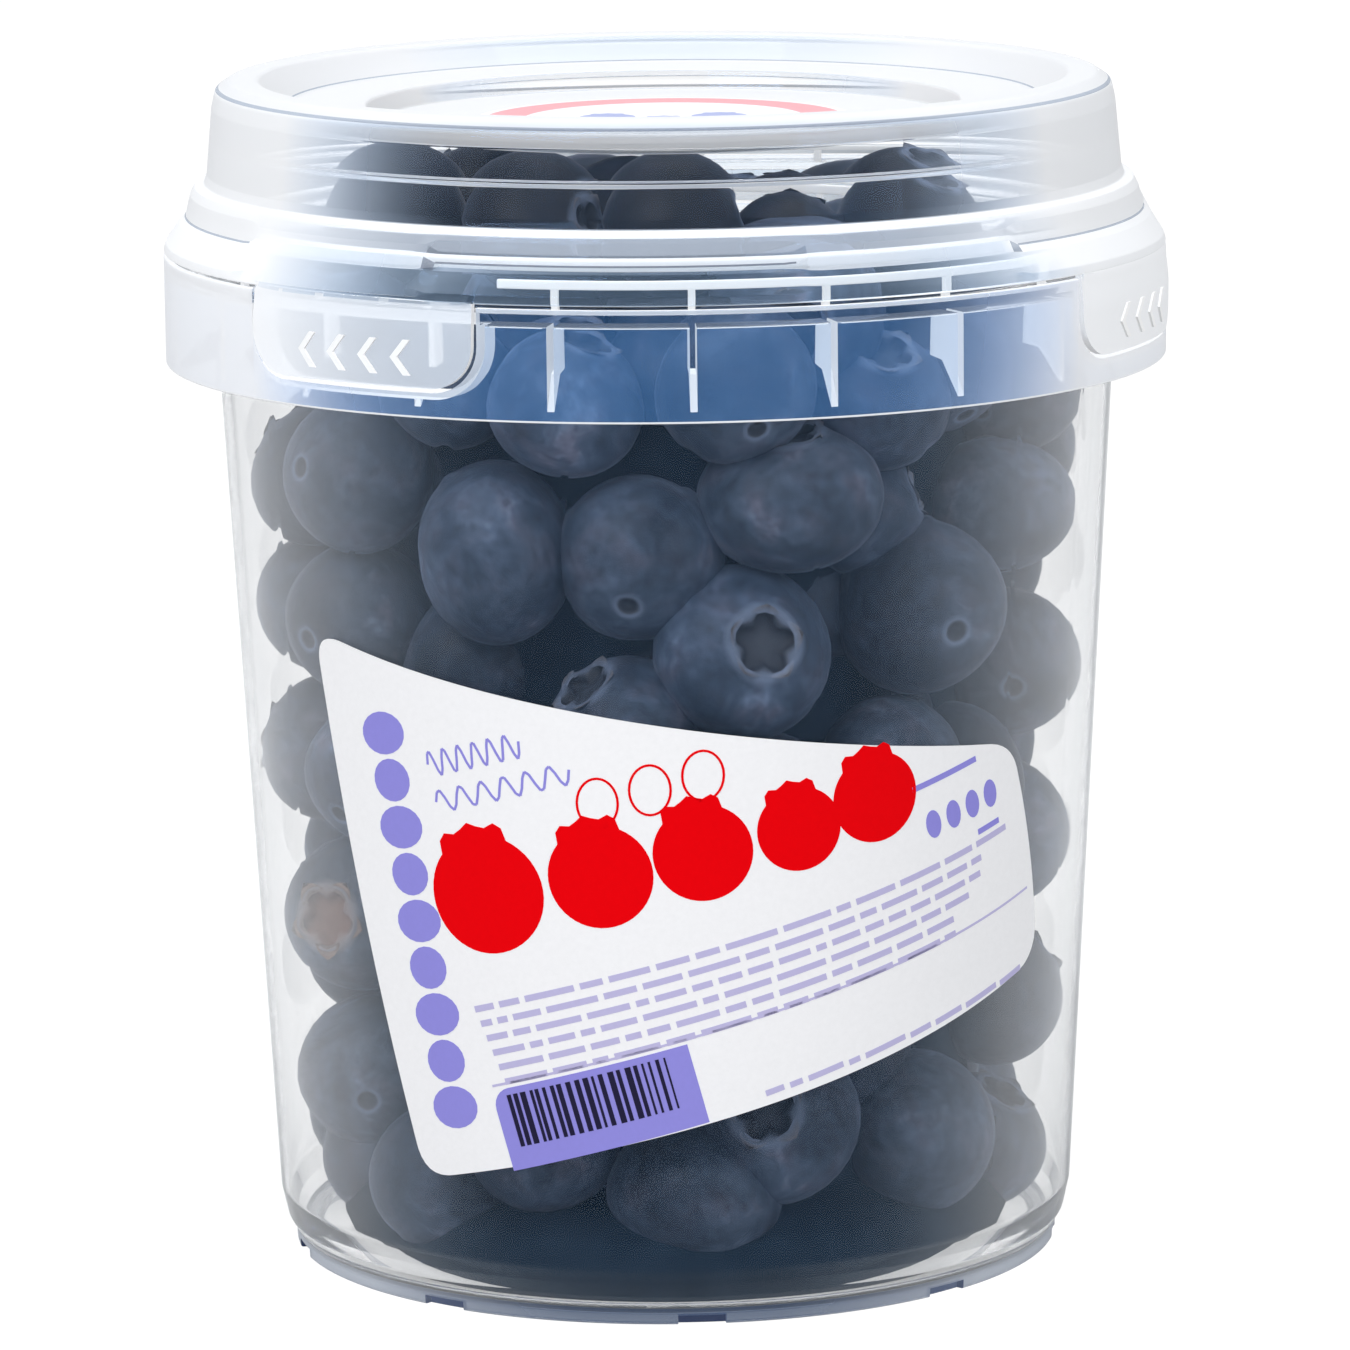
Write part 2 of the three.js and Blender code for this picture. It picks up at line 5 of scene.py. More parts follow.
import bmesh
import bpy
from mathutils import Euler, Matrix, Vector


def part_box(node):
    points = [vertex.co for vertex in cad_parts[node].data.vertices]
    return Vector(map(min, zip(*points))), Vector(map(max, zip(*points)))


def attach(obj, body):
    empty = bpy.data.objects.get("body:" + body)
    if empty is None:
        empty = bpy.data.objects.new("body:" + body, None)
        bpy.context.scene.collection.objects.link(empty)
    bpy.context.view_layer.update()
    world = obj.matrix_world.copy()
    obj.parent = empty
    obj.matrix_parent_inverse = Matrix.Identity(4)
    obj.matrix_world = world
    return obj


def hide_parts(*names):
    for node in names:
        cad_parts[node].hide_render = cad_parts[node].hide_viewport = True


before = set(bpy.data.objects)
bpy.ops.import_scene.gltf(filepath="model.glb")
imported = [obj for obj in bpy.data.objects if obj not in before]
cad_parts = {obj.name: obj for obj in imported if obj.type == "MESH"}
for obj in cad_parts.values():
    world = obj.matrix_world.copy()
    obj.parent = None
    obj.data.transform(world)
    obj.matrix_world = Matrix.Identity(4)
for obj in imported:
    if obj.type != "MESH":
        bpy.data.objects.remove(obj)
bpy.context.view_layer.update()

MM = 0.001
ROOT = "root"

# Roundness of the turned plastic: columns per turn, and steps in a moulded corner.
COLUMNS = 240
CORNER_STEPS = 4

# Tub body, foot with its notches, and lip.
BODY_RADIUS = 47.05
BODY_DRAFT = 0.0535
WALL = 0.75
FOOT_RADIUS = 45.6
FOOT_WIDTH = 1.7
NOTCH_COUNT = 9
NOTCH_FIRST = 3.7
NOTCH_SPAN = 7.0
NOTCH_HEIGHT = 1.1
NOTCH_DEPTH = 1.0
FLOOR_UNDER = 1.9
FLOOR_TOP = 2.7
FLOOR_SAG = 0.8
CORNER_TOP = 6.8
LIP_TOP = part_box("tub")[1].z / MM
LIP_RADIUS = 54.9

# Curtain, flange, fins and the rail that the fins carry above the flange.
CURTAIN_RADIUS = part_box("tub")[1].x / MM
CURTAIN_WALL = 0.7
CURTAIN_TOP = 119.2
CURTAIN_BOTTOM = 106.5
FLANGE_BOTTOM = 117.2
FLANGE_TOP = 118.5
FIN_COUNT = 23
FIN_FIRST = 3.0
FIN_THICK = 0.8
FIN_FOOT = 107.3
FIN_STEP = 112.2
RAIL_INNER = 55.3
RAIL_OUTER = 56.1
RAIL_BOTTOM = 120.9
RAIL_TOP = 121.9

# Lid, its pull tabs with their marks, and the pockets that the tabs hang in.
LID_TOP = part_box("lid")[1].z / MM
LID_WALL = 0.8
PANEL_TOP = 136.3
DISC_TOP = 134.0
DISC_RADIUS = 34.2
LID_EDGE = 119.6
BEAD_HEIGHT = 132.4
# A dark line painted on the shoulder's flats, standing in for the dark refraction at the flat's edge: its
# lowest and highest height and inner radius.
EDGE_LINE_LOW = 123.45
EDGE_LINE_HIGH = 124.0
EDGE_LINE_RADIUS = 55.9
# Where the lid's rims show as thin grey lines, painted as dark lines for the refraction at the rims: lowest
# and highest, inner and outer radius.
RIM_LINES = ((138.3, 138.7, 51.8, 54.0), (136.45, 136.85, 43.4, 45.4), (135.2, 135.8, 33.6, 35.4))
LEDGE_TOP = 127.9
SHOULDER_COUNT = 5
SHOULDER_FIRST = -6.2
SHOULDER_SPAN = 45.0
TAB_AZIMUTHS = (-36.7, 68.5, 196.0)
TAB_HALF_WIDTH = 15.6
TAB_BOTTOM = 109.9
TAB_CORNER = 5.0
TAB_FLARE = 0.34
TAB_GAP = 0.5
TAB_THICK = 0.85
MARK_COUNT = 4
MARK_STEP = 4.4
MARK_HEIGHT = 113.3
MARK_THICK = 0.25
POCKET_WALL = 0.8
POCKET_RADIUS = 57.4

# Paper: the side label's corners as arc length, height, corner radius and bow of the next edge.
LABEL_LIFT = 0.08
LABEL_THICK = 0.15
LABEL_MIDDLE = 47.0
LABEL_CORNERS = (
    (-45.4, 79.0, 4.5, -1.0),
    (44.3, 64.8, 4.0, 0.4),
    (51.8, 38.6, 6.0, 1.1),
    (-32.0, 15.6, 5.0, 0.8),
)
INK_THICK = 0.03
STICKER_RADIUS = 22.4
STICKER_LIFT = 0.06
STICKER_BAND = (16.6, 21.2)
LABEL_RISE = 15.3
DASH_GAP = 0.75

# Berries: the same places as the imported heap's, with the same seeded draw.
BERRY_GAP = 0.5
SIDE_SWELL = 1.04
HEAP_TOP = 106.0
# The dark core that stands in for painted shade inside the heap: its radius, and how far its foot reaches
# forward.
CORE_RADIUS = 34.0
CORE_FOOT_REACH = 5.6
DRAW_SEED = 41
WALL_ROWS = 7
WALL_ROW_COUNT = 13
WALL_ROW_FIRST = 12.0
WALL_ROW_RISE = 16.2
LEVEL_RINGS = ((0, 1), (17, 6), (33, 11))
LEVEL_LOW = 106.0
LEVEL_HIGH = 115.0
TOUCH = 0.93
PUSH = 0.4
SPREAD_ROUNDS = 80
BERRY_TURN_SIDES = 30
FORM_COUNT = 3

# The second layer of berries, in the gaps of the first, darkened with painted shade as they lie deeper.
DEEP_ROWS = 13
DEEP_ROW_COUNT = 17
DEEP_ROW_RISE = 7.6
DEEP_BACK = (3.0, 4.5, 6.0, 7.5, 9.0, 10.5, 12.0)
DEEP_TOUCH = 0.68
DEEP_PAINTED_SHADE = 0.2

# Camera, fitted to the photograph: distance and height in metres, angles in radians.
CAMERA_AT = (0.000617, -0.9, 0.2317)
CAMERA_DOWN = 0.1804
CAMERA_ROLL = 0.0114
CAMERA_LENS = 204.77
CAMERA_SENSOR = 36

# Soft white surroundings: as they light things, and as they mirror in gloss.
SKY_GLOW = (0.45, 0.46, 0.47)
SKY_MIRRORED = (0.80, 0.81, 0.83)
FLOOR_LIT = (0.60, 0.60, 0.60)
FLOOR_MIRRORED = (0.86, 0.87, 0.88)
FLOOR_THROUGH = (0.96, 0.96, 0.97)
PLASTIC_IOR = 1.4
PLASTIC_SHEEN = (0.10, 0.17, 0.30)
# Lamps: name, place, size, power and the height aimed at.
LAMPS = (
    ("key", (-0.7, -0.9, 1.1), 0.7, 12, 0.08),
    ("fill", (0.9, -0.8, 0.6), 0.6, 4, 0.08),
    ("top", (0.1, 0.1, 1.4), 0.9, 7, 0.1),
)

# The berries that show from the front: azimuth, height, radius across and along the crown axis,
# how far it stands back from the wall, and the azimuth and lift that its crown faces.
FRONT_BERRIES = (
    (-57, 96, 9.4, 8.2, 0, (125, -10)),
    (-84, 93, 9, 8, 1, (-120, 40)),
    (-17, 106, 9, 8.4, 3, (60, 70)),
    (11, 108, 9.2, 8.2, 2, (-160, 30)),
    (38, 105, 8.8, 8, 4, (20, 60)),
    (79, 104, 9, 8.2, 1, (150, 20)),
    (-64, 112, 8.2, 7.4, 2, (-20, 80)),
    (-40, 108, 8.6, 7.8, 4, (100, 40)),
    (-29.5, 88.5, 10.6, 8.8, 0, (95, 5)),
    (-5, 88, 9.8, 8.8, 3.5, (170, 30)),
    (20.5, 94.8, 10.6, 8.2, 0, (-20, 78)),
    (38, 91.5, 7.6, 7, 7, (90, 20)),
    (45.5, 80.5, 10.2, 9.3, 0, (207, 10)),
    (72, 89.5, 10, 7.9, 0.5, (200, 72)),
    (80, 70, 9, 8.2, 0, (185, 12)),
    (-60, 78.5, 9, 8.4, 0, (133, 10)),
    (-86, 77.5, 8.6, 7.8, 0.5, (-150, -20)),
    (11.8, 77.3, 10.2, 9.2, 0, (18, 16)),
    (-8, 68, 9.2, 8.2, 1, (-60, 50)),
    (40, 61, 9.4, 8.4, 1, (80, -30)),
    (-85, 60, 8.8, 8, 0, (-100, 10)),
    (-63, 59.5, 8.6, 7.8, 2, (140, 30)),
    (-70, 42, 9.4, 8.6, 0, (-30, 6)),
    (-74, 22, 9.4, 8.6, 0.5, (174, 12)),
    (-46, 12.2, 9.2, 8.8, 0, (110, 40)),
    (-26, 19, 9.6, 8.6, 2.5, (-10, 66)),
    (3.5, 11.8, 10.3, 8.4, 0, (150, 55)),
    (18.5, 21.5, 10, 9, 1, (-8, 20)),
    (50, 17, 9.8, 9, 0, (120, -20)),
    (80, 30, 9, 8.4, 0, (110, 35)),
    (79, 49.5, 9, 8.2, 0, (160, -25)),
    (78, 12, 8.4, 7.8, 1, (60, 60)),
    (-77, 11.6, 8.2, 7.6, 3, (-60, 60)),
)

# The berry whose crown has dried to tan: azimuth and height.
DRY_CROWN = (-70, 42)

# The loose berries up under the lid, darkened by painted shade: azimuth, distance from the axis, height,
# sizes and crown.
TOP_BERRIES = (
    (-65, 34, 124, 8.7, 7.9, (150, 30)),
    (-30, 30, 124.2, 8.6, 8, (-40, 25)),
    (2, 28, 124, 8.8, 8.2, (10, 0)),
    (38, 23, 121, 7.4, 6.8, (160, 60)),
    (60, 32.5, 122.6, 8.8, 8.2, (60, 65)),
    (-115, 24, 120, 8.8, 8, (-115, 30)),
    (-16, 15, 121.5, 8.6, 8, (-160, 20)),
)


def body_radius(height):
    return BODY_RADIUS + BODY_DRAFT * height


def ring(azimuth, radius):
    angle = radians(azimuth)
    return radius * sin(angle), -radius * cos(angle)


# Mesh helpers


def smooth(mesh, sharp=35.0):
    """Smooth shading up to an angle between faces."""
    mesh.polygons.foreach_set("use_smooth", [True] * len(mesh.polygons))
    mesh.set_sharp_from_angle(angle=radians(sharp))


def linked(name, data):
    """A new object in the scene."""
    thing = bpy.data.objects.new(name, data)
    bpy.context.scene.collection.objects.link(thing)
    return thing


def finished(name, bm, materials=(), sharp=35.0, scale=MM):
    """The bmesh as a named mesh object, closed faces outwards, smooth up to an angle."""
    if scale != 1:
        bmesh.ops.scale(bm, vec=(scale,) * 3, verts=bm.verts)
    bm.normal_update()
    if bm.calc_volume(signed=True) < 0:
        bmesh.ops.reverse_faces(bm, faces=bm.faces)
    mesh = bpy.data.meshes.new(name)
    bm.to_mesh(mesh)
    bm.free()
    for material in materials:
        mesh.materials.append(material)
    smooth(mesh, sharp)
    return linked(name, mesh)


def baked(base):
    """The object with what its modifiers make of it as its plain mesh."""
    evaluated = base.evaluated_get(bpy.context.evaluated_depsgraph_get())
    mesh = bpy.data.meshes.new_from_object(evaluated)
    base.modifiers.clear()
    old, base.data = base.data, mesh
    bpy.data.meshes.remove(old)
    return base


def combine(base, others, operation):
    """The other objects joined to the base or cut from it."""
    group = bpy.data.collections.new("cutters")
    for other in others:
        group.objects.link(other)
    modifier = base.modifiers.new("combine", "BOOLEAN")
    modifier.operand_type = "COLLECTION"
    modifier.collection = group
    modifier.operation = operation
    modifier.solver = "MANIFOLD"
    baked(base)
    for other in others:
        bpy.data.objects.remove(other)
    bpy.data.collections.remove(group)


def eased(start, pull, end, steps):
    """Points on a curve from start to end, pulled towards a corner, at the given shares."""
    return [start * (1 - t) ** 2 + pull * (2 * t * (1 - t)) + end * t * t for t in steps]


def rounded(points, closed=False):
    """Outline points (x, y, corner radius), with each corner that has a radius made round."""
    out = []
    count = len(points)
    steps = [step / CORNER_STEPS for step in range(CORNER_STEPS + 1)]
    for i, (x, y, radius) in enumerate(points):
        here = Vector((x, y))
        if radius == 0 or (not closed and i in (0, count - 1)):
            out.append(here)
            continue
        before = Vector(points[i - 1][:2]) - here
        after = Vector(points[(i + 1) % count][:2]) - here
        half = before.angle(after) / 2
        cut = min(radius / tan(half), 0.48 * before.length, 0.48 * after.length)
        out += eased(here + before.normalized() * cut, here, here + after.normalized() * cut, steps)
    return out


def turned(outline_at, columns=COLUMNS, closed=False):
    """A turned form. outline_at gives (radius, height) points for an azimuth, from axis to axis,
    or a closed loop."""
    bm = bmesh.new()
    grid = []
    for i in range(columns):
        azimuth = 360 * i / columns
        outline = outline_at(azimuth)
        off_axis = outline if closed else outline[1:-1]
        grid.append([bm.verts.new((*ring(azimuth, radius), z)) for radius, z in off_axis])
    for i in range(columns):
        here, after = grid[i - 1], grid[i]
        for j in range(0 if closed else 1, len(here)):
            bm.faces.new((here[j - 1], after[j - 1], after[j], here[j]))
    for end, order in () if closed else ((0, -1), (-1, 1)):
        pole = bm.verts.new((0, 0, outline[end][1]))
        for i in range(columns):
            bm.faces.new((pole, *(grid[i - 1][end], grid[i][end])[::order]))
    return bm


def closed_sheet(bm, front, back):
    """Two like grids of vertices, a front and a back, made into one closed slab."""
    loops = [column + behind[::-1] for column, behind in zip(front, back)]
    for here, after in zip(loops, loops[1:]):
        for j in range(len(here)):
            bm.faces.new((here[j - 1], after[j - 1], after[j], here[j]))
    for loop, order in ((loops[0], 1), (loops[-1], -1)):
        for j in range(len(loop) // 2 - 1):
            bm.faces.new((loop[j], loop[j + 1], loop[-j - 2], loop[-j - 1])[::order])


def at(value, where):
    """A measure that may be given as a function of the place."""
    return value(where) if callable(value) else value


def slab(name, offsets, low, high, inner, outer, azimuth, rows):
    """A curved slab that follows the tub: offsets are millimetres from an azimuth, low and high
    its edges at an offset, and inner and outer its radii at a height."""
    bm = bmesh.new()
    sides = []
    for radius in (inner, outer):
        grid = []
        for offset in offsets:
            angle = azimuth + degrees(asin(offset / CURTAIN_RADIUS))
            bottom, top = at(low, offset), at(high, offset)
            heights = [bottom + (top - bottom) * row / rows for row in range(rows + 1)]
            grid.append([bm.verts.new((*ring(angle, at(radius, z)), z)) for z in heights])
        sides.append(grid)
    closed_sheet(bm, sides[1], sides[0])
    return finished(name, bm)


def tab_edge(grow):
    """A tab's outline, grown by a margin: its columns, closer together in the round corners, and
    its lower edge as a function of the offset."""
    flat = TAB_HALF_WIDTH - TAB_CORNER
    corner = TAB_CORNER + grow
    bottom = TAB_BOTTOM - grow

    def low(offset):
        into = abs(offset) - flat
        return bottom if into <= 0 else bottom + corner - sqrt(max(corner ** 2 - into ** 2, 0))

    bends = [flat + corner * sin(radians(7.5 * i)) for i in range(13)]
    middle = [flat * i / 8 for i in range(-7, 8)]
    return [-x for x in reversed(bends)] + middle + bends, low


def paint(piece, finishes, finish_at):
    """Gives each face the finish that a rule names for its radius, height, flatness and azimuth."""
    for face in piece.data.polygons:
        x, y, z = (c / MM for c in face.center)
        finish = finish_at(hypot(x, y), z, abs(face.normal.z), degrees(atan2(x, -y)))
        face.material_index = finishes.index(finish)
    smooth(piece.data)


# Node trees


class Wiring:
    """Short ways to add nodes to a tree. A socket is given a value, or a socket to link from."""

    def __init__(self, tree):
        self.tree = tree
        self.nodes = tree.nodes

    def feed(self, socket, value):
        if isinstance(value, bpy.types.NodeSocket):
            self.tree.links.new(value, socket)
        elif socket.type == "RGBA":
            socket.default_value = (*value, 1)
        else:
            socket.default_value = value

    def fill(self, node, sockets):
        for socket, value in sockets.items():
            self.feed(node.inputs[socket], value)

    def new(self, kind, sockets=None, **settings):
        node = self.nodes.new(kind)
        for setting, value in settings.items():
            setattr(node, setting, value)
        self.fill(node, sockets or {})
        return node.outputs

    def add(self, kind, sockets=None, **settings):
        """A node of the family that shading and plain sums use."""
        return self.new("ShaderNode" + kind, sockets, **settings)

    def place(self, kind, sockets=None, **settings):
        """A node of the family that geometry uses."""
        return self.new("GeometryNode" + kind, sockets, **settings)

    def attribute(self, name):
        return self.add("Attribute", attribute_name=name)["Fac"]

    def noise(self, scale, detail=3.0, roughness=0.5, distortion=0.0):
        return self.add("TexNoise", {
            "Vector": self.add("TexCoord")["Object"], "Scale": scale, "Detail": detail,
            "Roughness": roughness, "Distortion": distortion,
        })["Fac"]

    def ramp(self, source, *stops):
        node = self.nodes.new("ShaderNodeValToRGB")
        elements = node.color_ramp.elements
        while len(elements) < len(stops):
            elements.new(0.5)
        for element, (position, colour) in zip(elements, stops):
            element.position = position
            element.color = (*colour, 1)
        self.feed(node.inputs["Fac"], source)
        return node.outputs["Color"]

    def switch(self, source, off, on):
        """Black below one value of the source and white above another."""
        return self.ramp(source, (off, (0, 0, 0)), (on, (1, 1, 1)))

    def mixed(self, factor, first, second, blend="MIX"):
        sockets = {0: factor, 6: first, 7: second}
        return self.add("Mix", sockets, data_type="RGBA", blend_type=blend)[2]

    def measure(self, operation, *values):
        return self.add("Math", dict(enumerate(values)), operation=operation)[0]

    def bump(self, height, strength, distance):
        sockets = {"Strength": strength, "Distance": distance, "Height": height}
        return self.add("Bump", sockets)["Normal"]

    def blend(self, factor, first, second):
        return self.add("MixShader", {0: factor, 1: first, 2: second})[0]

    def surface(self, shader_output):
        self.feed(self.nodes["Material Output"].inputs["Surface"], shader_output)

    def realized(self, instances, finish):
        """Ends a geometry tree: the instances made real and given a finish."""
        real = self.place("RealizeInstances", {0: instances})[0]
        painted = self.place("SetMaterial", {"Geometry": real, "Material": finish})[0]
        self.new("NodeGroupOutput", {0: painted})


def shader(name):
    """A new material with its Principled node and its wiring."""
    material = bpy.data.materials.new(name)
    material.use_nodes = True
    wires = Wiring(material.node_tree)
    return material, wires.nodes["Principled BSDF"], wires


def grower(name, sockets):
    """A geometry tree with named inputs: its wiring, what it is given, and the identifiers."""
    tree = bpy.data.node_groups.new(name, "GeometryNodeTree")
    for in_out in ("INPUT", "OUTPUT"):
        tree.interface.new_socket("Geometry", in_out=in_out, socket_type="NodeSocketGeometry")
    identifiers = {}
    for title, kind in sockets.items():
        socket = tree.interface.new_socket(title, in_out="INPUT", socket_type=f"NodeSocket{kind}")
        identifiers[title] = socket.identifier
    wires = Wiring(tree)
    return wires, wires.new("NodeGroupInput"), identifiers


def grown(base, tree, values):
    """The base object's mesh replaced by what the node tree makes of it."""
    modifier = base.modifiers.new(tree.name, "NODES")
    modifier.node_group = tree
    for identifier, value in values.items():
        modifier[identifier] = value
    return baked(base)


# Finishes


def clear_plastic(name, tint, haze, haze_colour, edge_haze, edge_colour, roughness):
    """Clear moulded plastic: glass with a milky haze that thickens where it is seen edge on,
    letting lamp light through."""
    material, glass, wires = shader(name)
    wires.fill(glass, {
        "Base Color": tint, "Transmission Weight": 1, "Roughness": roughness, "IOR": PLASTIC_IOR,
        "Specular Tint": PLASTIC_SHEEN, "Normal": wires.bump(wires.noise(55.0, 2.0), 0.05, 0.0004),
    })
    facing = wires.add("LayerWeight", {"Blend": 0.5})["Facing"]
    thickness = wires.add("MapRange", {
        "Value": facing, "From Min": 0.10, "From Max": 0.48, "To Min": haze, "To Max": edge_haze,
    }, interpolation_type="SMOOTHSTEP")["Result"]
    whiter = wires.ramp(facing, (0.1, haze_colour), (0.45, edge_colour))
    milk = wires.add("BsdfDiffuse", {"Color": whiter})[0]
    cloudy = wires.blend(thickness, glass.outputs[0], milk)
    paths = wires.add("LightPath")
    lighting = wires.measure("MAXIMUM", paths["Is Shadow Ray"], paths["Is Diffuse Ray"])
    through = wires.add("BsdfTransparent", {"Color": (0.97, 0.97, 0.97)})[0]
    wires.surface(wires.blend(lighting, cloudy, through))
    return material


def berry_skin():
    """Dark blue skin under a patchy waxy bloom, pale round the crown's rim and dark in its pit."""
    material, skin, wires = shader("berry_skin")
    tone, ends = wires.attribute("tone"), wires.attribute("ends")
    patches = wires.noise(120.0, 6.0, 0.66, 0.25)
    fine = wires.noise(800.0, 3.0, 0.6)
    rubbed = wires.noise(240.0, 4.0, 0.55)
    colour = wires.ramp(
        patches,
        (0.34, (0.011, 0.018, 0.033)),
        (0.48, (0.027, 0.041, 0.069)),
        (0.60, (0.058, 0.082, 0.130)),
        (0.72, (0.140, 0.180, 0.265)),
    )
    speck = wires.ramp(fine, (0.35, (0.86, 0.86, 0.87)), (0.70, (1.10, 1.10, 1.09)))
    worn = wires.ramp(rubbed, (0.46, (1.0, 1.0, 1.0)), (0.66, (0.86, 0.70, 0.68)))
    # Each berry's tone: random, except that its dark end, 0 for the berries under the lid and low for the
    # deep layer, is painted shade.
    tone_and_shade_factor = wires.ramp(
        tone,
        (0.0, (0.10, 0.11, 0.14)),
        (0.2, (0.70, 0.71, 0.74)),
        (0.6, (1.0, 1.0, 1.0)),
        (0.92, (1.30, 1.33, 1.40)),
        (1.0, (1.0, 1.0, 1.0)),
    )
    for shade in (speck, worn, tone_and_shade_factor):
        colour = wires.mixed(1.0, colour, shade, "MULTIPLY")
    pit = wires.ramp(
        ends,
        (0.35, (0.130, 0.170, 0.260)),
        (0.60, (0.034, 0.040, 0.058)),
        (0.85, (0.012, 0.014, 0.022)),
        (1.00, (0.032, 0.038, 0.054)),
    )
    dried = wires.ramp(ends, (0.35, (0.22, 0.20, 0.21)), (0.7, (0.16, 0.095, 0.075)))
    pit = wires.mixed(wires.switch(tone, 0.93, 0.97), pit, dried)
    rough = wires.add("MapRange", {"Value": patches, "To Min": 0.40, "To Max": 0.66})
    wires.fill(skin, {
        "Base Color": wires.mixed(wires.switch(ends, 0.05, 0.5), colour, pit),
        "Roughness": rough["Result"], "Specular IOR Level": 0.14, "Sheen Weight": 0.12,
        "Sheen Roughness": 0.5, "Sheen Tint": (0.55, 0.68, 1.0), "Normal": wires.bump(fine, 0.25, 0.0002),
    })
    return material


def crown_skin():
    """Calyx flaps: bloom-covered skin at the foot, drying to brown tips."""
    material, skin, wires = shader("crown_skin")
    tone, ends = wires.attribute("tone"), wires.attribute("ends")
    patches = wires.noise(700.0, 4.0)
    fresh = wires.ramp(ends, (0.3, (0.110, 0.145, 0.225)), (1.0, (0.085, 0.085, 0.105)))
    dry = wires.ramp(ends, (0.2, (0.11, 0.085, 0.08)), (1.0, (0.17, 0.115, 0.095)))
    colour = wires.mixed(wires.switch(tone, 0.93, 0.97), fresh, dry)
    worn = wires.ramp(patches, (0.3, (0.7, 0.7, 0.7)), (0.7, (1.2, 1.2, 1.2)))
    wires.fill(skin, {
        "Base Color": wires.mixed(1.0, colour, worn, "MULTIPLY"),
        "Roughness": 0.75, "Normal": wires.bump(patches, 0.4, 0.0003),
    })
    return material


def painted_heap_shade():
    """Painted shade: a near-black skin for the core that stands in for the shade between the berries, where
    the heap can't be seen into.
    """
    material, skin, wires = shader("heap_shade")
    shade = wires.ramp(wires.noise(160.0), (0.3, (0.006, 0.013, 0.024)), (0.7, (0.012, 0.022, 0.038)))
    wires.fill(skin, {"Base Color": shade, "Roughness": 0.8, "Specular IOR Level": 0.0})
    return material


def paper(name, colour, roughness=0.4):
    """Coated paper with a faint fibre, white or printed."""
    material, sheet, wires = shader(name)
    fibre = wires.noise(1400.0, 4.0, 0.7)
    wires.fill(sheet, {
        "Base Color": wires.ramp(fibre, (0.3, tuple(c * 0.965 for c in colour)), (0.7, colour)),
        "Roughness": roughness, "Specular IOR Level": 0.03, "Normal": wires.bump(fibre, 0.08, 0.0001),
    })
    return material


# Plastic parts


def tub_outline(_azimuth):
    floor_top, floor_under = FLOOR_TOP - FLOOR_SAG, FLOOR_UNDER - FLOOR_SAG
    foot_inner, skirt_inner = FOOT_RADIUS - FOOT_WIDTH, CURTAIN_RADIUS - CURTAIN_WALL
    return rounded([
        (0, floor_under, 0), (foot_inner, floor_under, 0.3), (foot_inner, 0, 0.25),
        (FOOT_RADIUS, 0, 0.3), (FOOT_RADIUS + 0.1, FLOOR_UNDER, 0.2), (FOOT_RADIUS + 1.1, 3.6, 1.2),
        (body_radius(CORNER_TOP), CORNER_TOP, 2.5), (body_radius(FLANGE_BOTTOM), FLANGE_BOTTOM, 0.4),
        (skirt_inner, FLANGE_BOTTOM, 0.3), (skirt_inner, CURTAIN_BOTTOM, 0.2),
        (CURTAIN_RADIUS, CURTAIN_BOTTOM, 0.25), (CURTAIN_RADIUS, CURTAIN_TOP, 0.25),
        (skirt_inner, CURTAIN_TOP, 0.2), (skirt_inner - 0.4, FLANGE_TOP, 0.3),
        (LIP_RADIUS - 1, FLANGE_TOP, 0.3), (LIP_RADIUS - 0.9, LIP_TOP - 1.9, 0.2),
        (LIP_RADIUS, LIP_TOP - 1.5, 0.4), (LIP_RADIUS - 0.1, LIP_TOP - 0.3, 0.5),
        (LIP_RADIUS - 0.9, LIP_TOP, 0.4), (body_radius(LIP_TOP) - WALL, LIP_TOP, 0.5),
        (body_radius(CORNER_TOP) - WALL, CORNER_TOP, 2.5), (FOOT_RADIUS - 0.9, floor_top + 0.6, 1.2),
        (FOOT_RADIUS - 3, floor_top, 1.5), (0, floor_top, 0),
    ])


def fin_plate():
    """One fin, standing at the front: a thin plate from the body to the curtain with its post."""
    root = body_radius(FIN_STEP) - WALL / 2
    edge = CURTAIN_RADIUS - CURTAIN_WALL / 2
    middle = (FLANGE_BOTTOM + FLANGE_TOP) / 2
    post_out, post_in, post_top = RAIL_OUTER - 0.05, RAIL_INNER + 0.05, RAIL_TOP - 0.3
    outline = [
        (root, FIN_STEP), (LIP_RADIUS + 0.4, FIN_STEP - 0.5), (edge, FIN_FOOT), (edge, middle),
        (post_out, middle), (post_out, post_top), (post_in, post_top), (post_in, middle), (root, middle),
    ]
    bm = bmesh.new()
    left, right = (
        [bm.verts.new((x, -radius, height)) for radius, height in outline]
        for x in (-FIN_THICK / 2, FIN_THICK / 2)
    )
    bm.faces.new(left)
    bm.faces.new(right[::-1])
    for i in range(len(outline)):
        bm.faces.new((left[i], left[i - 1], right[i - 1], right[i]))
    return finished("fin_form", bm)


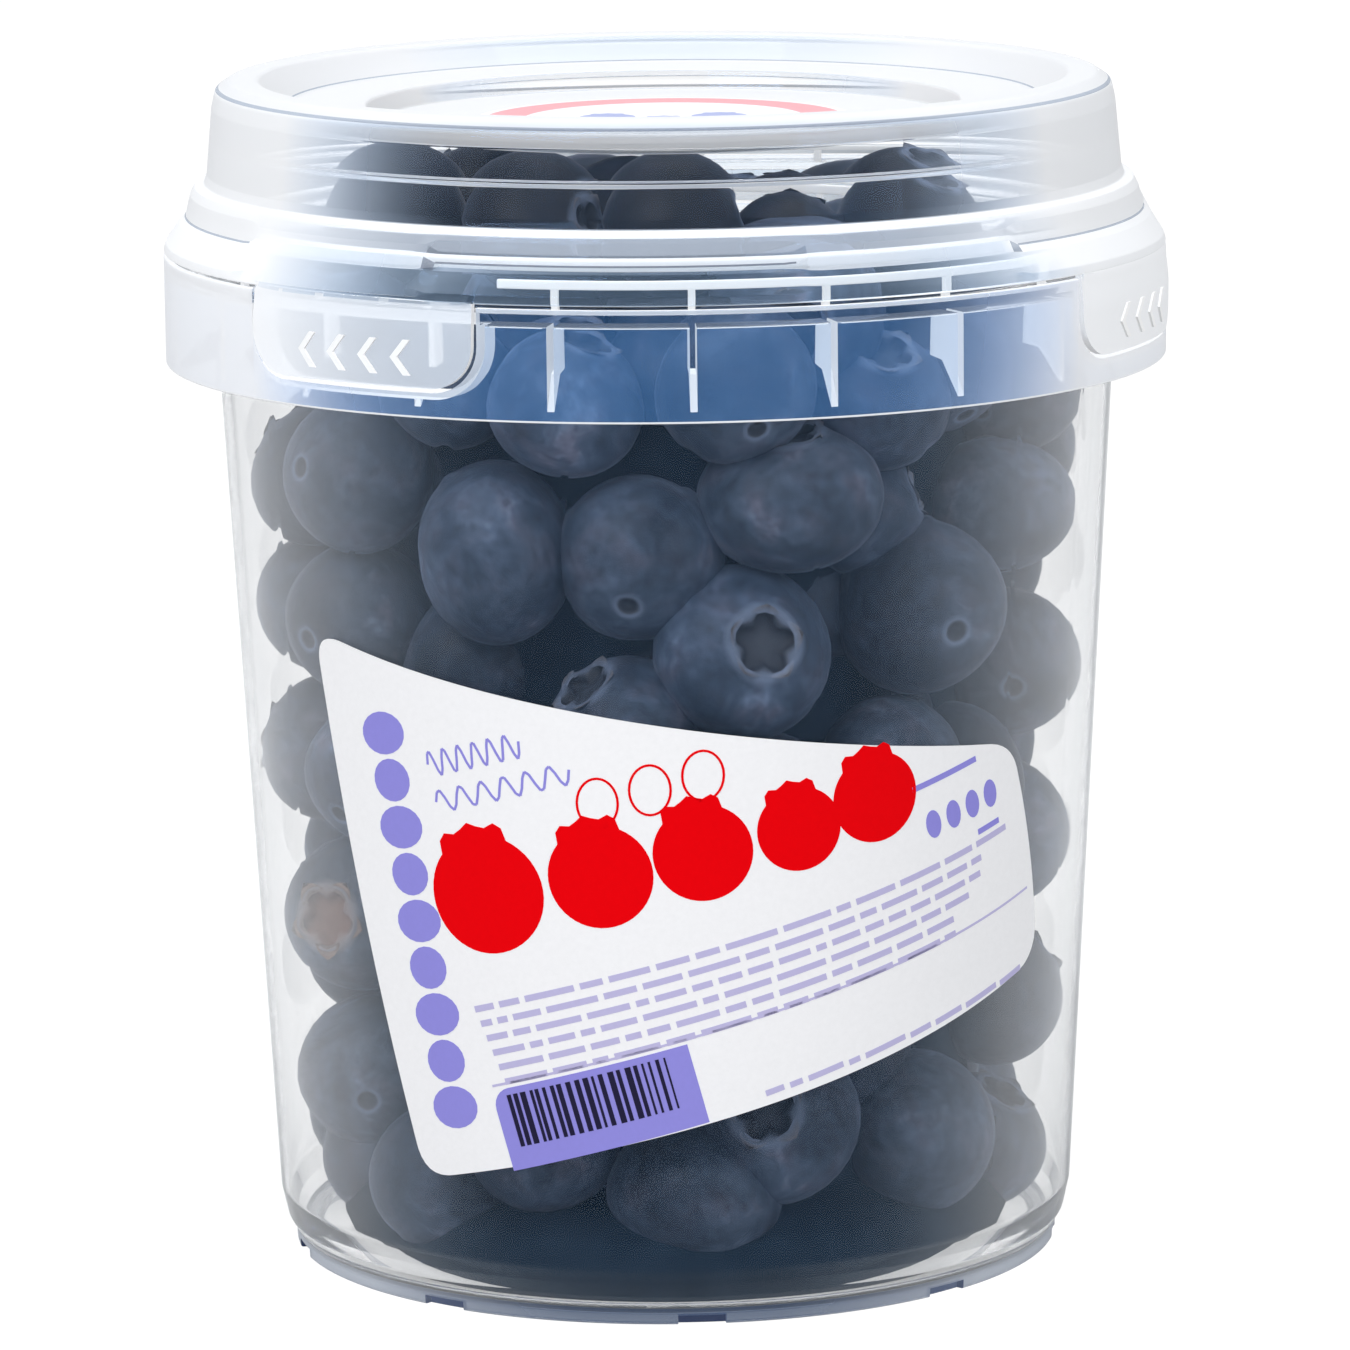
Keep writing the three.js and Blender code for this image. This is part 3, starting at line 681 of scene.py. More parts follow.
def fins_around():
    """All the fins, turned round the axis by a node tree with named inputs."""
    wires, given, names = grower(
        "fin_circle", {"Fin Count": "Int", "First Angle": "Float", "Finish": "Material"},
    )
    line = wires.place("MeshLine", {"Count": given["Fin Count"], "Offset": (0, 0, 0)})[0]
    share = wires.measure("DIVIDE", wires.place("InputIndex")[0], given["Fin Count"])
    turn = wires.measure("MULTIPLY_ADD", share, tau, given["First Angle"])
    fins = wires.place("InstanceOnPoints", {
        "Points": line, "Instance": given["Geometry"],
        "Rotation": wires.add("CombineXYZ", {"Z": turn})[0],
    })[0]
    wires.realized(fins, given["Finish"])
    return grown(fin_plate(), wires.tree, {
        names["Fin Count"]: FIN_COUNT,
        names["First Angle"]: radians(FIN_FIRST),
        names["Finish"]: MATERIALS["skirt"],
    })


def make_rail():
    """The ring that the fins' posts carry above the flange."""
    outline = rounded([
        (RAIL_INNER, RAIL_BOTTOM, 0.2), (RAIL_OUTER, RAIL_BOTTOM, 0.2),
        (RAIL_OUTER, RAIL_TOP, 0.2), (RAIL_INNER, RAIL_TOP, 0.2),
    ], closed=True)
    return finished("rail", turned(lambda _azimuth: outline, closed=True))


def pocket_parts():
    """What each pull tab needs in the tub: a wall round its pocket, and the pocket itself."""
    walls, holes = [], []
    wall_edge, hole_edge = tab_edge(TAB_GAP + POCKET_WALL), tab_edge(TAB_GAP)
    half = TAB_HALF_WIDTH + 2
    gap = [half * i / 8 for i in range(-8, 9)]
    for azimuth in TAB_AZIMUTHS:
        walls.append(slab(
            "pocket_wall", *wall_edge, (FLANGE_BOTTOM + FLANGE_TOP) / 2,
            LIP_RADIUS + 0.3, CURTAIN_RADIUS - CURTAIN_WALL / 2, azimuth, 2,
        ))
        for name, high, inner in (
            ("pocket_hollow", FLANGE_BOTTOM - 0.05, LIP_RADIUS),
            ("pocket_mouth", CURTAIN_TOP + 1, POCKET_RADIUS),
        ):
            holes.append(slab(name, *hole_edge, high, inner, CURTAIN_RADIUS + 2, azimuth, 2))
        holes.append(slab(
            "rail_gap", gap, FLANGE_TOP + 0.1, RAIL_TOP + 1,
            RAIL_INNER - 0.15, RAIL_OUTER + 0.5, azimuth, 1,
        ))
    return walls, holes


def foot_notches():
    half = CURTAIN_RADIUS * radians(NOTCH_SPAN / 2)
    offsets = [half * i / 3 for i in range(-3, 4)]
    return [
        slab(
            "foot_notch", offsets, -1, NOTCH_HEIGHT, FOOT_RADIUS - NOTCH_DEPTH, FOOT_RADIUS + 1,
            NOTCH_FIRST + 360 * i / NOTCH_COUNT, 1,
        )
        for i in range(NOTCH_COUNT)
    ]


def tub_finish(radius, z, flatness, _azimuth):
    if z < FLOOR_UNDER + 0.2 and radius > FOOT_RADIUS - FOOT_WIDTH - 0.5:
        # The notch windows take a dark finish: painted shade of the shaded ground seen through them.
        in_notch = FOOT_RADIUS - NOTCH_DEPTH - 0.1 < radius < FOOT_RADIUS - 0.15
        return "notch" if in_notch and z < NOTCH_HEIGHT + 0.1 else "foot"
    on_rail = RAIL_BOTTOM - 0.1 < z < RAIL_TOP + 0.1 and RAIL_INNER - 0.2 < radius < RAIL_OUTER + 0.2
    on_hem = z < CURTAIN_BOTTOM + 0.3 and radius > CURTAIN_RADIUS - CURTAIN_WALL - 0.1
    if z > LIP_TOP - 2 or on_rail or on_hem:
        return "fin"
    on_flange = FLANGE_BOTTOM - 0.1 < z < FLANGE_TOP + 0.1 and flatness > 0.7
    on_neck = FLANGE_TOP - 0.1 < z < LIP_TOP - 1.8 and radius < LIP_RADIUS - 0.5
    past_body = radius > min(body_radius(FLANGE_BOTTOM) + 0.3, body_radius(z) + 0.2)
    if on_flange or on_neck or z <= FIN_FOOT - 2 or not past_body:
        return "body"
    return "fin" if radius < CURTAIN_RADIUS - CURTAIN_WALL - 0.05 else "skirt"


def make_tub():
    tub = finished("tub_clear", turned(tub_outline), [MATERIALS[k] for k in TUB_FINISHES])
    walls, holes = pocket_parts()
    combine(tub, [make_rail(), fins_around()] + walls, "UNION")
    combine(tub, holes + foot_notches(), "DIFFERENCE")
    paint(tub, TUB_FINISHES, tub_finish)
    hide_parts("tub")
    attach(tub, ROOT)


def shoulder_share(azimuth):
    """How much of the drawn-in shoulder profile there is at an azimuth, from 0 to 1."""
    period = 360 / SHOULDER_COUNT
    off = (azimuth - SHOULDER_FIRST + period / 2) % period - period / 2
    edge = SHOULDER_SPAN / 2 - abs(off)
    return min(max(edge / 1.5, 0), 1)


def lid_outline(azimuth):
    """The lid's section, its underside first. The shoulder is a cone, drawn in at its flats."""
    share = shoulder_share(azimuth)

    def between(cone, flat):
        return tuple(a + (b - a) * share for a, b in zip(cone, flat))

    return rounded([
        (0, DISC_TOP - LID_WALL, 0), (DISC_RADIUS + 0.6, DISC_TOP - LID_WALL, 0.4),
        (DISC_RADIUS + 1.3, PANEL_TOP - LID_WALL, 0.4), (44.3, PANEL_TOP - LID_WALL, 1.0),
        (47.9, LID_TOP - LID_WALL, 1.0), (50.6, LID_TOP - LID_WALL, 0.9), (51.9, LID_TOP - 1.7, 1.0),
        (52.3, PANEL_TOP, 0.6), (52.35, BEAD_HEIGHT + 0.45, 0.15), (51.95, BEAD_HEIGHT, 0.15),
        (52.45, BEAD_HEIGHT - 0.45, 0.15), (53.0, 126.7, 0.5), (54.3, 126.5, 0.4),
        (*between((54.9, 125.4), (55.2, 124.8)), 0.3), (*between((56.4, 122.7), (56.2, 122.4)), 0.3),
        (CURTAIN_RADIUS - 0.95, LID_EDGE, 0.15), (CURTAIN_RADIUS, LID_EDGE, 0.15),
        (*between((58.3, 120.9), (58.75, 120.6)), 0.6), (*between((57.1, 123.1), (57.1, 122.9)), 0.8),
        (*between((56.4, 124.4), (56.35, 123.7)), 0.5), (*between((55.8, 125.6), (55.75, 126.2)), 0.3),
        (55.2, 127.2, 0.3), (54.1, 127.5, 0.3), (53.75, 128.6, 0.5), (53.05, PANEL_TOP, 1.2),
        (52.6, LID_TOP - 1.1, 1.2), (50.9, LID_TOP, 1.4), (47.6, LID_TOP, 1.2), (44.0, PANEL_TOP, 1.2),
        (DISC_RADIUS + 0.7, PANEL_TOP, 0.5), (DISC_RADIUS - 0.1, DISC_TOP, 0.4), (0, DISC_TOP, 0),
    ])


def tab_outer(height):
    """The outer radius of a pull tab, which flares a little towards its lower edge."""
    if height > LID_EDGE:
        return CURTAIN_RADIUS - 0.2
    share = min((LID_EDGE - height) / 4.6, 1)
    return CURTAIN_RADIUS + TAB_FLARE * share * share * (3 - 2 * share)


def lid_finish(radius, z, flatness, azimuth):
    on_flat = shoulder_share(azimuth) > 0.5
    # The band on the flats and the rim lines take a dark finish, painted to stand in for the refraction at
    # those edges.
    on_edge_line = on_flat and EDGE_LINE_LOW < z < EDGE_LINE_HIGH and radius > EDGE_LINE_RADIUS
    on_line = any(low < z < high and inner < radius < outer for low, high, inner, outer in RIM_LINES)
    if on_edge_line or on_line:
        return "crease"
    if z >= LEDGE_TOP:
        return "panel" if flatness > 0.6 else "lid"
    if z < LID_EDGE - 0.05:
        return "tab"
    return "shoulder" if z < EDGE_LINE_HIGH else "ledge"


def make_lid():
    lid = finished("lid_clear", turned(lid_outline), [MATERIALS[k] for k in LID_FINISHES])
    combine(lid, [
        slab("tab", *tab_edge(0), LID_EDGE + 0.5, lambda z: tab_outer(z) - TAB_THICK, tab_outer, azimuth, 14)
        for azimuth in TAB_AZIMUTHS
    ], "UNION")
    paint(lid, LID_FINISHES, lid_finish)
    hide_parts("lid")
    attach(lid, ROOT)


# Berries


def make_draw(seed):
    """A function that gives the next of a seeded row of numbers from 0 to 1."""
    state = [seed]

    def draw():
        state[0] = (state[0] * 1664525 + 1013904223) & 0xFFFFFFFF
        return state[0] / 4294967296

    return draw


def direction(faces):
    azimuth, lift = faces
    up = radians(lift)
    x, y = ring(azimuth, cos(up))
    return Vector((x, y, sin(up)))


def reach(berry, unit):
    """How far a berry reaches from its middle along a unit vector."""
    share = direction(berry["faces"]).dot(unit) ** 2
    return sqrt(berry["across"] ** 2 * (1 - share) + berry["along"] ** 2 * share) * SIDE_SWELL


def seat_on_wall(berry):
    """The middle of a berry that leans on the wall, held up by the floor."""
    upward = Vector((0, 0, 1))
    outward = direction((berry["azimuth"], 0))
    floor = FLOOR_TOP + BERRY_GAP + reach(berry, upward)
    height = max(berry["height"], floor)
    low = height - reach(berry, upward) / 3
    radius = body_radius(low) - WALL - BERRY_GAP - reach(berry, outward) - berry["back"]
    x, y = ring(berry["azimuth"], radius)
    return Vector((x, y, height))


def draw_berry(draw, azimuth, height):
    across = 8.6 + 1.6 * draw()
    return {
        "azimuth": azimuth,
        "height": height,
        "across": across,
        "along": across * (0.82 + 0.12 * draw()),
        "back": 1.5 * draw(),
        "faces": (azimuth + 300 * (draw() - 0.5), 120 * (draw() - 0.4)),
    }


def spread(berries, fixed, seat):
    """Pushes the berries from a place in the list onwards apart, seating each again as it moves."""
    for _round in range(SPREAD_ROUNDS):
        for i in range(fixed, len(berries)):
            berry = berries[i]
            push = Vector()
            for j, other in enumerate(berries):
                if j == i:
                    continue
                apart = berry["middle"] - other["middle"]
                overlap = TOUCH * (berry["across"] + other["across"]) - apart.length
                if overlap > 0:
                    push += apart.normalized() * (overlap * PUSH)
            seat(berry, berry["middle"] + push)


def lean_on_wall(berry, moved):
    berry["azimuth"] = degrees(atan2(moved.x, -moved.y))
    berry["height"] = min(moved.z, HEAP_TOP + 4)
    berry["middle"] = seat_on_wall(berry)


def keep_level(berry, moved):
    height = min(max(moved.z, LEVEL_LOW), LEVEL_HIGH)
    furthest = body_radius(height) - WALL - BERRY_GAP - berry["across"] * SIDE_SWELL
    share = min(1, furthest / max(1, hypot(moved.x, moved.y)))
    berry["middle"] = Vector((moved.x * share, moved.y * share, height))


def spacing(berry, other):
    """The distance between two berries as a share of their radii together: 1 where they touch."""
    return (berry["middle"] - other["middle"]).length / (berry["across"] + other["across"])


def wall_berries(draw):
    """Berries against the wall: the front ones stay put, and the drawn ones spread round them."""
    berries = []
    for row in FRONT_BERRIES:
        berry = dict(zip(("azimuth", "height", "across", "along", "back", "faces"), row))
        berry["middle"] = seat_on_wall(berry)
        if row[:2] == DRY_CROWN:
            berry["tone"] = 1.0
        berries.append(berry)
    fixed = len(berries)
    for row in range(WALL_ROWS):
        for i in range(WALL_ROW_COUNT):
            azimuth = ((i + 0.5 * (row % 2) + 0.3 * draw()) * 360) / WALL_ROW_COUNT
            berry = draw_berry(draw, azimuth, WALL_ROW_FIRST + row * WALL_ROW_RISE + 2 * draw())
            berry["middle"] = seat_on_wall(berry)
            if all(spacing(berry, other) >= (0.8 if k < fixed else 0.5) for k, other in enumerate(berries)):
                berries.append(berry)
    spread(berries, fixed, lean_on_wall)
    return berries


def all_berries(draw):
    """The berries on the wall, the few that lie highest, and the level layer that closes the heap."""
    berries = wall_berries(draw)
    for azimuth, radius, height, across, along, faces in TOP_BERRIES:
        crown = (azimuth + 90, 10) if abs(faces[0]) < 50 else faces
        # A tone of 0 is painted shade: these berries are darkened as if shaded by the lid and sticker.
        berries.append({"across": across, "along": along, "faces": faces, "tone": 0.0, "crown": crown})
        berries[-1]["middle"] = Vector((*ring(azimuth, radius), height))
    fixed = len(berries)
    for radius, count in LEVEL_RINGS:
        for i in range(count):
            azimuth = ((i + 0.4 * draw()) * 360) / count + radius
            berry = draw_berry(draw, azimuth, 109 + 3 * draw())
            berry["middle"] = Vector((*ring(azimuth, radius), berry["height"]))
            berries.append(berry)
    spread(berries, fixed, keep_level)
    return berries


def deep_berries(berries):
    """A second layer: each berry lies as near the wall as the gaps of the first layer let it."""
    draw = make_draw(DRAW_SEED + 3)
    deep = []
    for row in range(DEEP_ROWS):
        for i in range(DEEP_ROW_COUNT):
            azimuth = (i + 0.5 * (row % 2)) * 360 / DEEP_ROW_COUNT
            berry = draw_berry(draw, azimuth, WALL_ROW_FIRST + row * DEEP_ROW_RISE)
            # The deep layer's low tone is painted shade for berries further in.
            berry["tone"] = DEEP_PAINTED_SHADE
            for back in DEEP_BACK:
                berry["back"] = back
                berry["middle"] = seat_on_wall(berry)
                if all(spacing(berry, other) > DEEP_TOUCH for other in berries + deep):
                    deep.append(berry)
                    break
    return deep


def berry_form(name, seed):
    """One berry of unit size, crown up, with a star-shaped pit at the crown and a stem scar. Its
    outline gives radius, height and how much of the end's own colour shows there."""
    draw = make_draw(seed)
    outline = [
        (0.0, -0.93, 0.95), (0.07, -0.935, 0.9), (0.115, -0.965, 0.6), (0.15, -0.985, 0.35),
        (0.21, -0.98, 0.08),
    ]
    for i in range(15):
        angle = radians(-72 + 133 * i / 14)
        outline.append((cos(angle) ** 0.92, sin(angle), 0.0))
    outline += [
        (0.490, 0.890, 0.06), (0.445, 0.930, 0.22), (0.405, 0.950, 0.36), (0.365, 0.948, 0.46),
        (0.325, 0.920, 0.64), (0.300, 0.850, 0.85), (0.200, 0.805, 0.95), (0.080, 0.815, 1.0),
        (0.0, 0.835, 1.0),
    ]
    lumps = [(draw() * 0.025, 2 + int(3 * draw()), draw() * 6.3, draw() * 6.3) for _ in range(4)]
    uneven = [0.8 + 0.4 * draw() for _ in range(5)]
    bm = bmesh.new()
    ends = bm.verts.layers.float.new("ends")
    rows = []
    for radius, height, end in outline:
        row = []
        for i in range(BERRY_TURN_SIDES if radius else 1):
            angle = tau * i / BERRY_TURN_SIDES
            star = cos(5 * angle) * uneven[int(angle / tau * 5 + 0.5) % 5]
            pit = min(max((0.385 - radius) / 0.05, 0), 1) if height > 0.8 and radius > 0.1 else 0
            wide = radius * (1 + 0.24 * star * pit)
            tall = height + (0.012 * star if 0.35 < radius < 0.46 and height > 0.9 else 0)
            lump = 1 + sum(a * sin(n * angle + p) * cos(2 * height + q) for a, n, p, q in lumps)
            row.append(bm.verts.new((wide * lump * cos(angle), wide * lump * sin(angle), tall)))
            row[-1][ends] = end
        rows.append(row)
    for low, high in zip(rows, rows[1:]):
        for i in range(BERRY_TURN_SIDES):
            after = (i + 1) % BERRY_TURN_SIDES
            foot = [low[0]] if len(low) == 1 else [low[i], low[after]]
            top = [high[0]] if len(high) == 1 else [high[after], high[i]]
            bm.faces.new(foot + top)
    return finished(name, bm, sharp=80, scale=1)


def crown_form(name, flare):
    """The calyx of a unit berry: five short pointed flaps standing round the pit."""
    bm = bmesh.new()
    ends = bm.verts.layers.float.new("ends")
    for lobe in range(5):
        sheets = []
        for depth in (0, 0.022):
            grid = []
            for t in (0, 1 / 3, 2 / 3, 1):
                half = 0.50 * (1 - t) ** 0.8
                out = 0.375 + flare * t * 0.13 - depth
                up = 0.940 + 0.10 * t * (1.3 - flare) + 0.015 * sin(3 * lobe)
                row = []
                for side in (-1, 0, 1):
                    angle = tau * lobe / 5 + side * half
                    far = out + 0.015 * (1 - abs(side)) * t
                    row.append(bm.verts.new((far * cos(angle), far * sin(angle), up)))
                    row[-1][ends] = 0.25 + 0.75 * t
                grid.append(row)
            sheets.append(grid)
        closed_sheet(bm, *sheets)
    bmesh.ops.remove_doubles(bm, verts=bm.verts, dist=1e-6)
    return finished(name, bm, sharp=60, scale=1)


def scatter_tree():
    """Places each point's chosen form with its own turn and size, and keeps its tone, painted shade
    included.
    """
    titles = [f"Form {k}" for k in range(FORM_COUNT)]
    wires, given, names = grower(
        "berry_scatter", {**{title: "Object" for title in titles}, "Finish": "Material"},
    )

    def stored(name, kind):
        return wires.place("InputNamedAttribute", {"Name": name}, data_type=kind)["Attribute"]

    turn = wires.new("FunctionNodeEulerToRotation", {0: stored("turn", "FLOAT_VECTOR")})[0]
    size, form = stored("size", "FLOAT_VECTOR"), stored("form", "INT")
    join = wires.nodes.new("GeometryNodeJoinGeometry")
    for k, title in enumerate(titles):
        chosen = wires.new("FunctionNodeCompare", {2: form, 3: k}, data_type="INT", operation="EQUAL")[0]
        wires.feed(join.inputs[0], wires.place("InstanceOnPoints", {
            "Points": given["Geometry"], "Selection": chosen, "Rotation": turn, "Scale": size,
            "Instance": wires.place("ObjectInfo", {"Object": given[title]})["Geometry"],
        })[0])
    wires.realized(join.outputs[0], given["Finish"])
    return wires.tree, [names[title] for title in titles], names["Finish"]


def berry_points(name, berries):
    """One point for each berry, holding its turn, size, form and tone: random, set for the dried crown, and
    painted shade for the berries under the lid and in the deep layer.
    """
    draw = make_draw(DRAW_SEED + 7)
    mesh = bpy.data.meshes.new(name)
    mesh.from_pydata([berry["middle"] * MM for berry in berries], [], [])
    turns, sizes, forms, tone_and_shade_values = [], [], [], []
    for berry in berries:
        facing = direction(berry.get("crown", berry["faces"])).to_track_quat("Z", "Y")
        turns += (facing @ Euler((0, 0, tau * draw())).to_quaternion()).to_euler()
        sizes += (berry["across"] * MM, berry["across"] * MM, berry["along"] * MM)
        forms.append(int(FORM_COUNT * draw()))
        tone_and_shade_values.append(berry.get("tone", 0.2 + 0.7 * draw()))
    for title, kind, part, values in (
        ("turn", "FLOAT_VECTOR", "vector", turns), ("size", "FLOAT_VECTOR", "vector", sizes),
        ("form", "INT", "value", forms), ("tone", "FLOAT", "value", tone_and_shade_values),
    ):
        mesh.attributes.new(title, kind, "POINT").data.foreach_set(part, values)
    return linked(name, mesh)


def core_outline(azimuth):
    """The dark core that stands in for the shade inside the heap as painted shade; its foot comes near the
    wall in front, where the heap is darkest.
    """
    foot = CORE_RADIUS + 4 + CORE_FOOT_REACH * max(cos(radians(azimuth)), 0)
    return rounded([
        (0, 2.3, 0), (foot, 2.3, 1), (foot + 1.4, 5.4, 2), (foot, 9, 2), (CORE_RADIUS + 1.5, 13, 3),
        (CORE_RADIUS + 1, 30, 3), (CORE_RADIUS + 2.5, HEAP_TOP - 6, 3), (CORE_RADIUS - 5, HEAP_TOP, 3),
        (0, HEAP_TOP, 0),
    ])


def make_berries():
    berries = all_berries(make_draw(DRAW_SEED))
    tree, form_inputs, finish_input = scatter_tree()
    skins = [berry_form(f"berry_form_{k}", 11 + k) for k in range(FORM_COUNT)]
    crowns = [crown_form(f"crown_form_{k}", flare) for k, flare in enumerate((0.5, 0.9, 1.2))]
    for name, group, forms, finish in (
        ("berries_whole", berries, skins, MATERIALS["berry"]),
        ("berry_crowns", berries, crowns, MATERIALS["crown"]),
        ("berries_deep", deep_berries(berries), skins, MATERIALS["berry"]),
    ):
        values = {**dict(zip(form_inputs, forms)), finish_input: finish}
        piece = grown(berry_points(name, group), tree, values)
        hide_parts("berries")
        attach(piece, ROOT)
    for form in skins + crowns:
        bpy.data.objects.remove(form)
    # A dark core inside the heap: painted shade where the heap can't be seen into.
    core = finished("heap_core", turned(core_outline, 72), [MATERIALS["core"]])
    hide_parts("berries")
    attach(core, ROOT)


# Paper and print


def label_outline():
    """The label's outline as arc length and height: bowed edges with round corners."""
    out = []
    for i, (along, height, radius, bow) in enumerate(LABEL_CORNERS):
        *place, next_radius, _bow = LABEL_CORNERS[(i + 1) % len(LABEL_CORNERS)]
        corner, before, after = Vector((along, height)), Vector(LABEL_CORNERS[i - 1][:2]), Vector(place)
        enter = corner + (before - corner).normalized() * radius
        leave = corner + (after - corner).normalized() * radius
        arrive = after + (corner - after).normalized() * next_radius
        edge = arrive - leave
        control = (leave + arrive) / 2 + Vector((-edge.y, edge.x)).normalized() * (2 * bow)
        out += eased(enter, corner, leave, [step / 8 for step in range(8)])
        out += eased(leave, control, arrive, [step / 24 for step in range(24)])
    return [tuple(point) for point in out]


def on_side(along, height, lift):
    """A point of the wrapped paper, from arc length, height and its distance off the wall."""
    angle = degrees(along / body_radius(LABEL_MIDDLE))
    return (*ring(angle, body_radius(height) + lift), height)


def on_lid(x, y, lift):
    return x, y, DISC_TOP + lift


def laid_sheets(name, outlines, place, lift, thick, material, strip=1.5):
    """Flat outlines laid on a surface as thin closed sheets, cut into strips so that they bend."""
    bm = bmesh.new()
    for outline in outlines:
        flat = bmesh.new()
        flat.faces.new([flat.verts.new((x, y, 0)) for x, y in outline])
        high = max(x for x, _y in outline)
        cut = ceil(min(x for x, _y in outline) / strip) * strip
        while cut < high:
            bmesh.ops.bisect_plane(
                flat, geom=flat.verts[:] + flat.edges[:] + flat.faces[:],
                plane_co=(cut, 0, 0), plane_no=(1, 0, 0), dist=1e-5,
            )
            cut += strip
        flat.normal_update()
        if sum(face.normal.z for face in flat.faces) < 0:
            bmesh.ops.reverse_faces(flat, faces=flat.faces)
        base = [bm.verts.new(place(v.co.x, v.co.y, lift)) for v in flat.verts]
        top = [bm.verts.new(place(v.co.x, v.co.y, lift + thick)) for v in flat.verts]
        flat.verts.index_update()
        for face in flat.faces:
            ids = [v.index for v in face.verts]
            bm.faces.new([top[k] for k in ids])
            bm.faces.new([base[k] for k in reversed(ids)])
        for edge in flat.edges:
            if len(edge.link_faces) == 1:
                loop = edge.link_loops[0]
                a, b = loop.vert.index, loop.link_loop_next.vert.index
                bm.faces.new((base[a], base[b], top[b], top[a]))
        flat.free()
    piece = finished(name, bm, [material])
    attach(piece, ROOT)
    return piece


def framed(spot, tilt, points):
    """Points of a shape's own frame, turned by a tilt and moved to a spot."""
    c, s = cos(radians(tilt)), sin(radians(tilt))
    return [(spot[0] + a * c - b * s, spot[1] + a * s + b * c) for a, b in points]


def polar(radius, angle):
    return radius * cos(angle), radius * sin(angle)


def oval(spot, half_long, half_short, tilt, sides=20):
    angles = [tau * i / sides for i in range(sides)]
    return framed(spot, tilt, [(half_long * cos(t), half_short * sin(t)) for t in angles])


def bar(spot, length, height, tilt):
    """A bar that starts at a spot and runs along a tilt."""
    return framed(spot, tilt, [(0, 0), (length, 0), (length, height), (0, height)])


def line(start, end, width):
    """A straight line of even width between two points."""
    run = end - start
    side = Vector((-run.y, run.x)).normalized() * (width / 2)
    return [tuple(point) for point in (start - side, end - side, end + side, start + side)]


def fruit(spot, radius, tilt):
    """A round fruit with a small three-pointed crown on top."""
    points = []
    for i in range(48):
        angle = tau * i / 48
        from_top = (degrees(angle) + 90) % 360 - 180
        crown = 1.05 + 0.17 * abs(cos(radians(from_top * 7.5)))
        points.append(polar(radius * (crown if abs(from_top) < 36 else 1), angle))
    return framed(spot, tilt, points)


def dashes(draw, start, along, length, shortest, spare, height, tilt):
    """A row of dashes of drawn lengths."""
    out = []
    gone = 0.0
    while gone < length:
        dash = shortest + spare * draw()
        out.append(bar(start + along * gone, dash, height, tilt))
        gone += dash + DASH_GAP
    return out


def label_print():
    """Fields of colour and simple shapes on the side label, rising to the right as a whole."""
    draw = make_draw(DRAW_SEED + 3)
    rise = LABEL_RISE
    along, up = (Vector(point) for point in framed((0, 0), rise, [(1, 0), (0, 1)]))

    red = []
    spot = Vector((-21.0, 48.6))
    for radius in (7.4, 6.4, 6.0, 5.2, 5.6):
        red.append(fruit(spot + up * (radius * 0.92 - 4.6), radius * 0.94, rise))
        spot += along * (radius * 1.86)
    for i in range(3):
        edge = oval(Vector((-8.2, 62.0)) + along * (6.1 * i), 2.9, 2.3, rise + 74, 28)
        edge = [Vector(point) for point in edge]
        red += [line(edge[k], edge[(k + 1) % 28], 0.28) for k in range(28)]

    violet = []
    edge_run = Vector((-8.6, 48.5)).normalized()
    for i in range(9):
        violet.append(oval(Vector((-27.0, 25.0)) + edge_run * (5.5 * i), 2.5, 3.1 - 0.5 * (i % 2), 100))
    for start, length, height in ((Vector((-28.5, 65.3)), 12.0, 1.5), (Vector((-27.6, 61.0)), 17.0, 1.3)):
        wave = [start + along * (length * t / 40) + up * (height * sin(t * 0.95)) for t in range(41)]
        violet += [line(wave[k], wave[k + 1], 0.3) for k in range(40)]
    violet += [oval(Vector((31.6, 57.3)) + along * (3.0 * i), 1.7, 1.05, rise + 90) for i in range(4)]
    violet += [bar((28.6, 61.3), 9.5, 0.7, rise), bar((38.6, 55.0), 3.6, 0.7, rise)]
    box = Vector((-22.0, 27.4))
    corner = box + along * 24.4
    bends = [radians(15 * step) for step in range(7)]
    rounding = [box + (along * (1 - sin(bend)) - up * (1 - cos(bend))) * 2.2 for bend in bends]
    violet.append([tuple(point) for point in rounding + [box - up * 9.6, corner - up * 9.6, corner]])

    small = []
    for row in range(6):
        start = Vector((-23.6, 36.6)) - up * (1.78 * row) + along * (0.25 * row)
        small += dashes(draw, start, along, 67 - 2.2 * row, 1.2, 5.2, 0.75, rise)
    small.append(bar((-21.8, 27.9), 72.6, 0.28, rise))
    small += dashes(draw, Vector((10.8, 27.3)), along, 34, 1.4, 4.8, 0.7, rise + 2)

    dark = []
    gone = 1.8
    while gone < 21.6:
        wide = 0.22 + 0.5 * draw()
        dark.append(bar(box + along * gone - up * 7.0, wide, 6.2, rise))
        gone += wide + 0.22 + 0.4 * draw()

    lift = LABEL_LIFT + LABEL_THICK
    for ink, shapes in (("red", red), ("violet", violet), ("fine", small), ("dark", dark)):
        step = INK_THICK if ink == "dark" else 0
        name = f"label_print_{ink}"
        piece = laid_sheets(name, shapes, on_side, lift + step, INK_THICK, MATERIALS[f"ink_{ink}"])


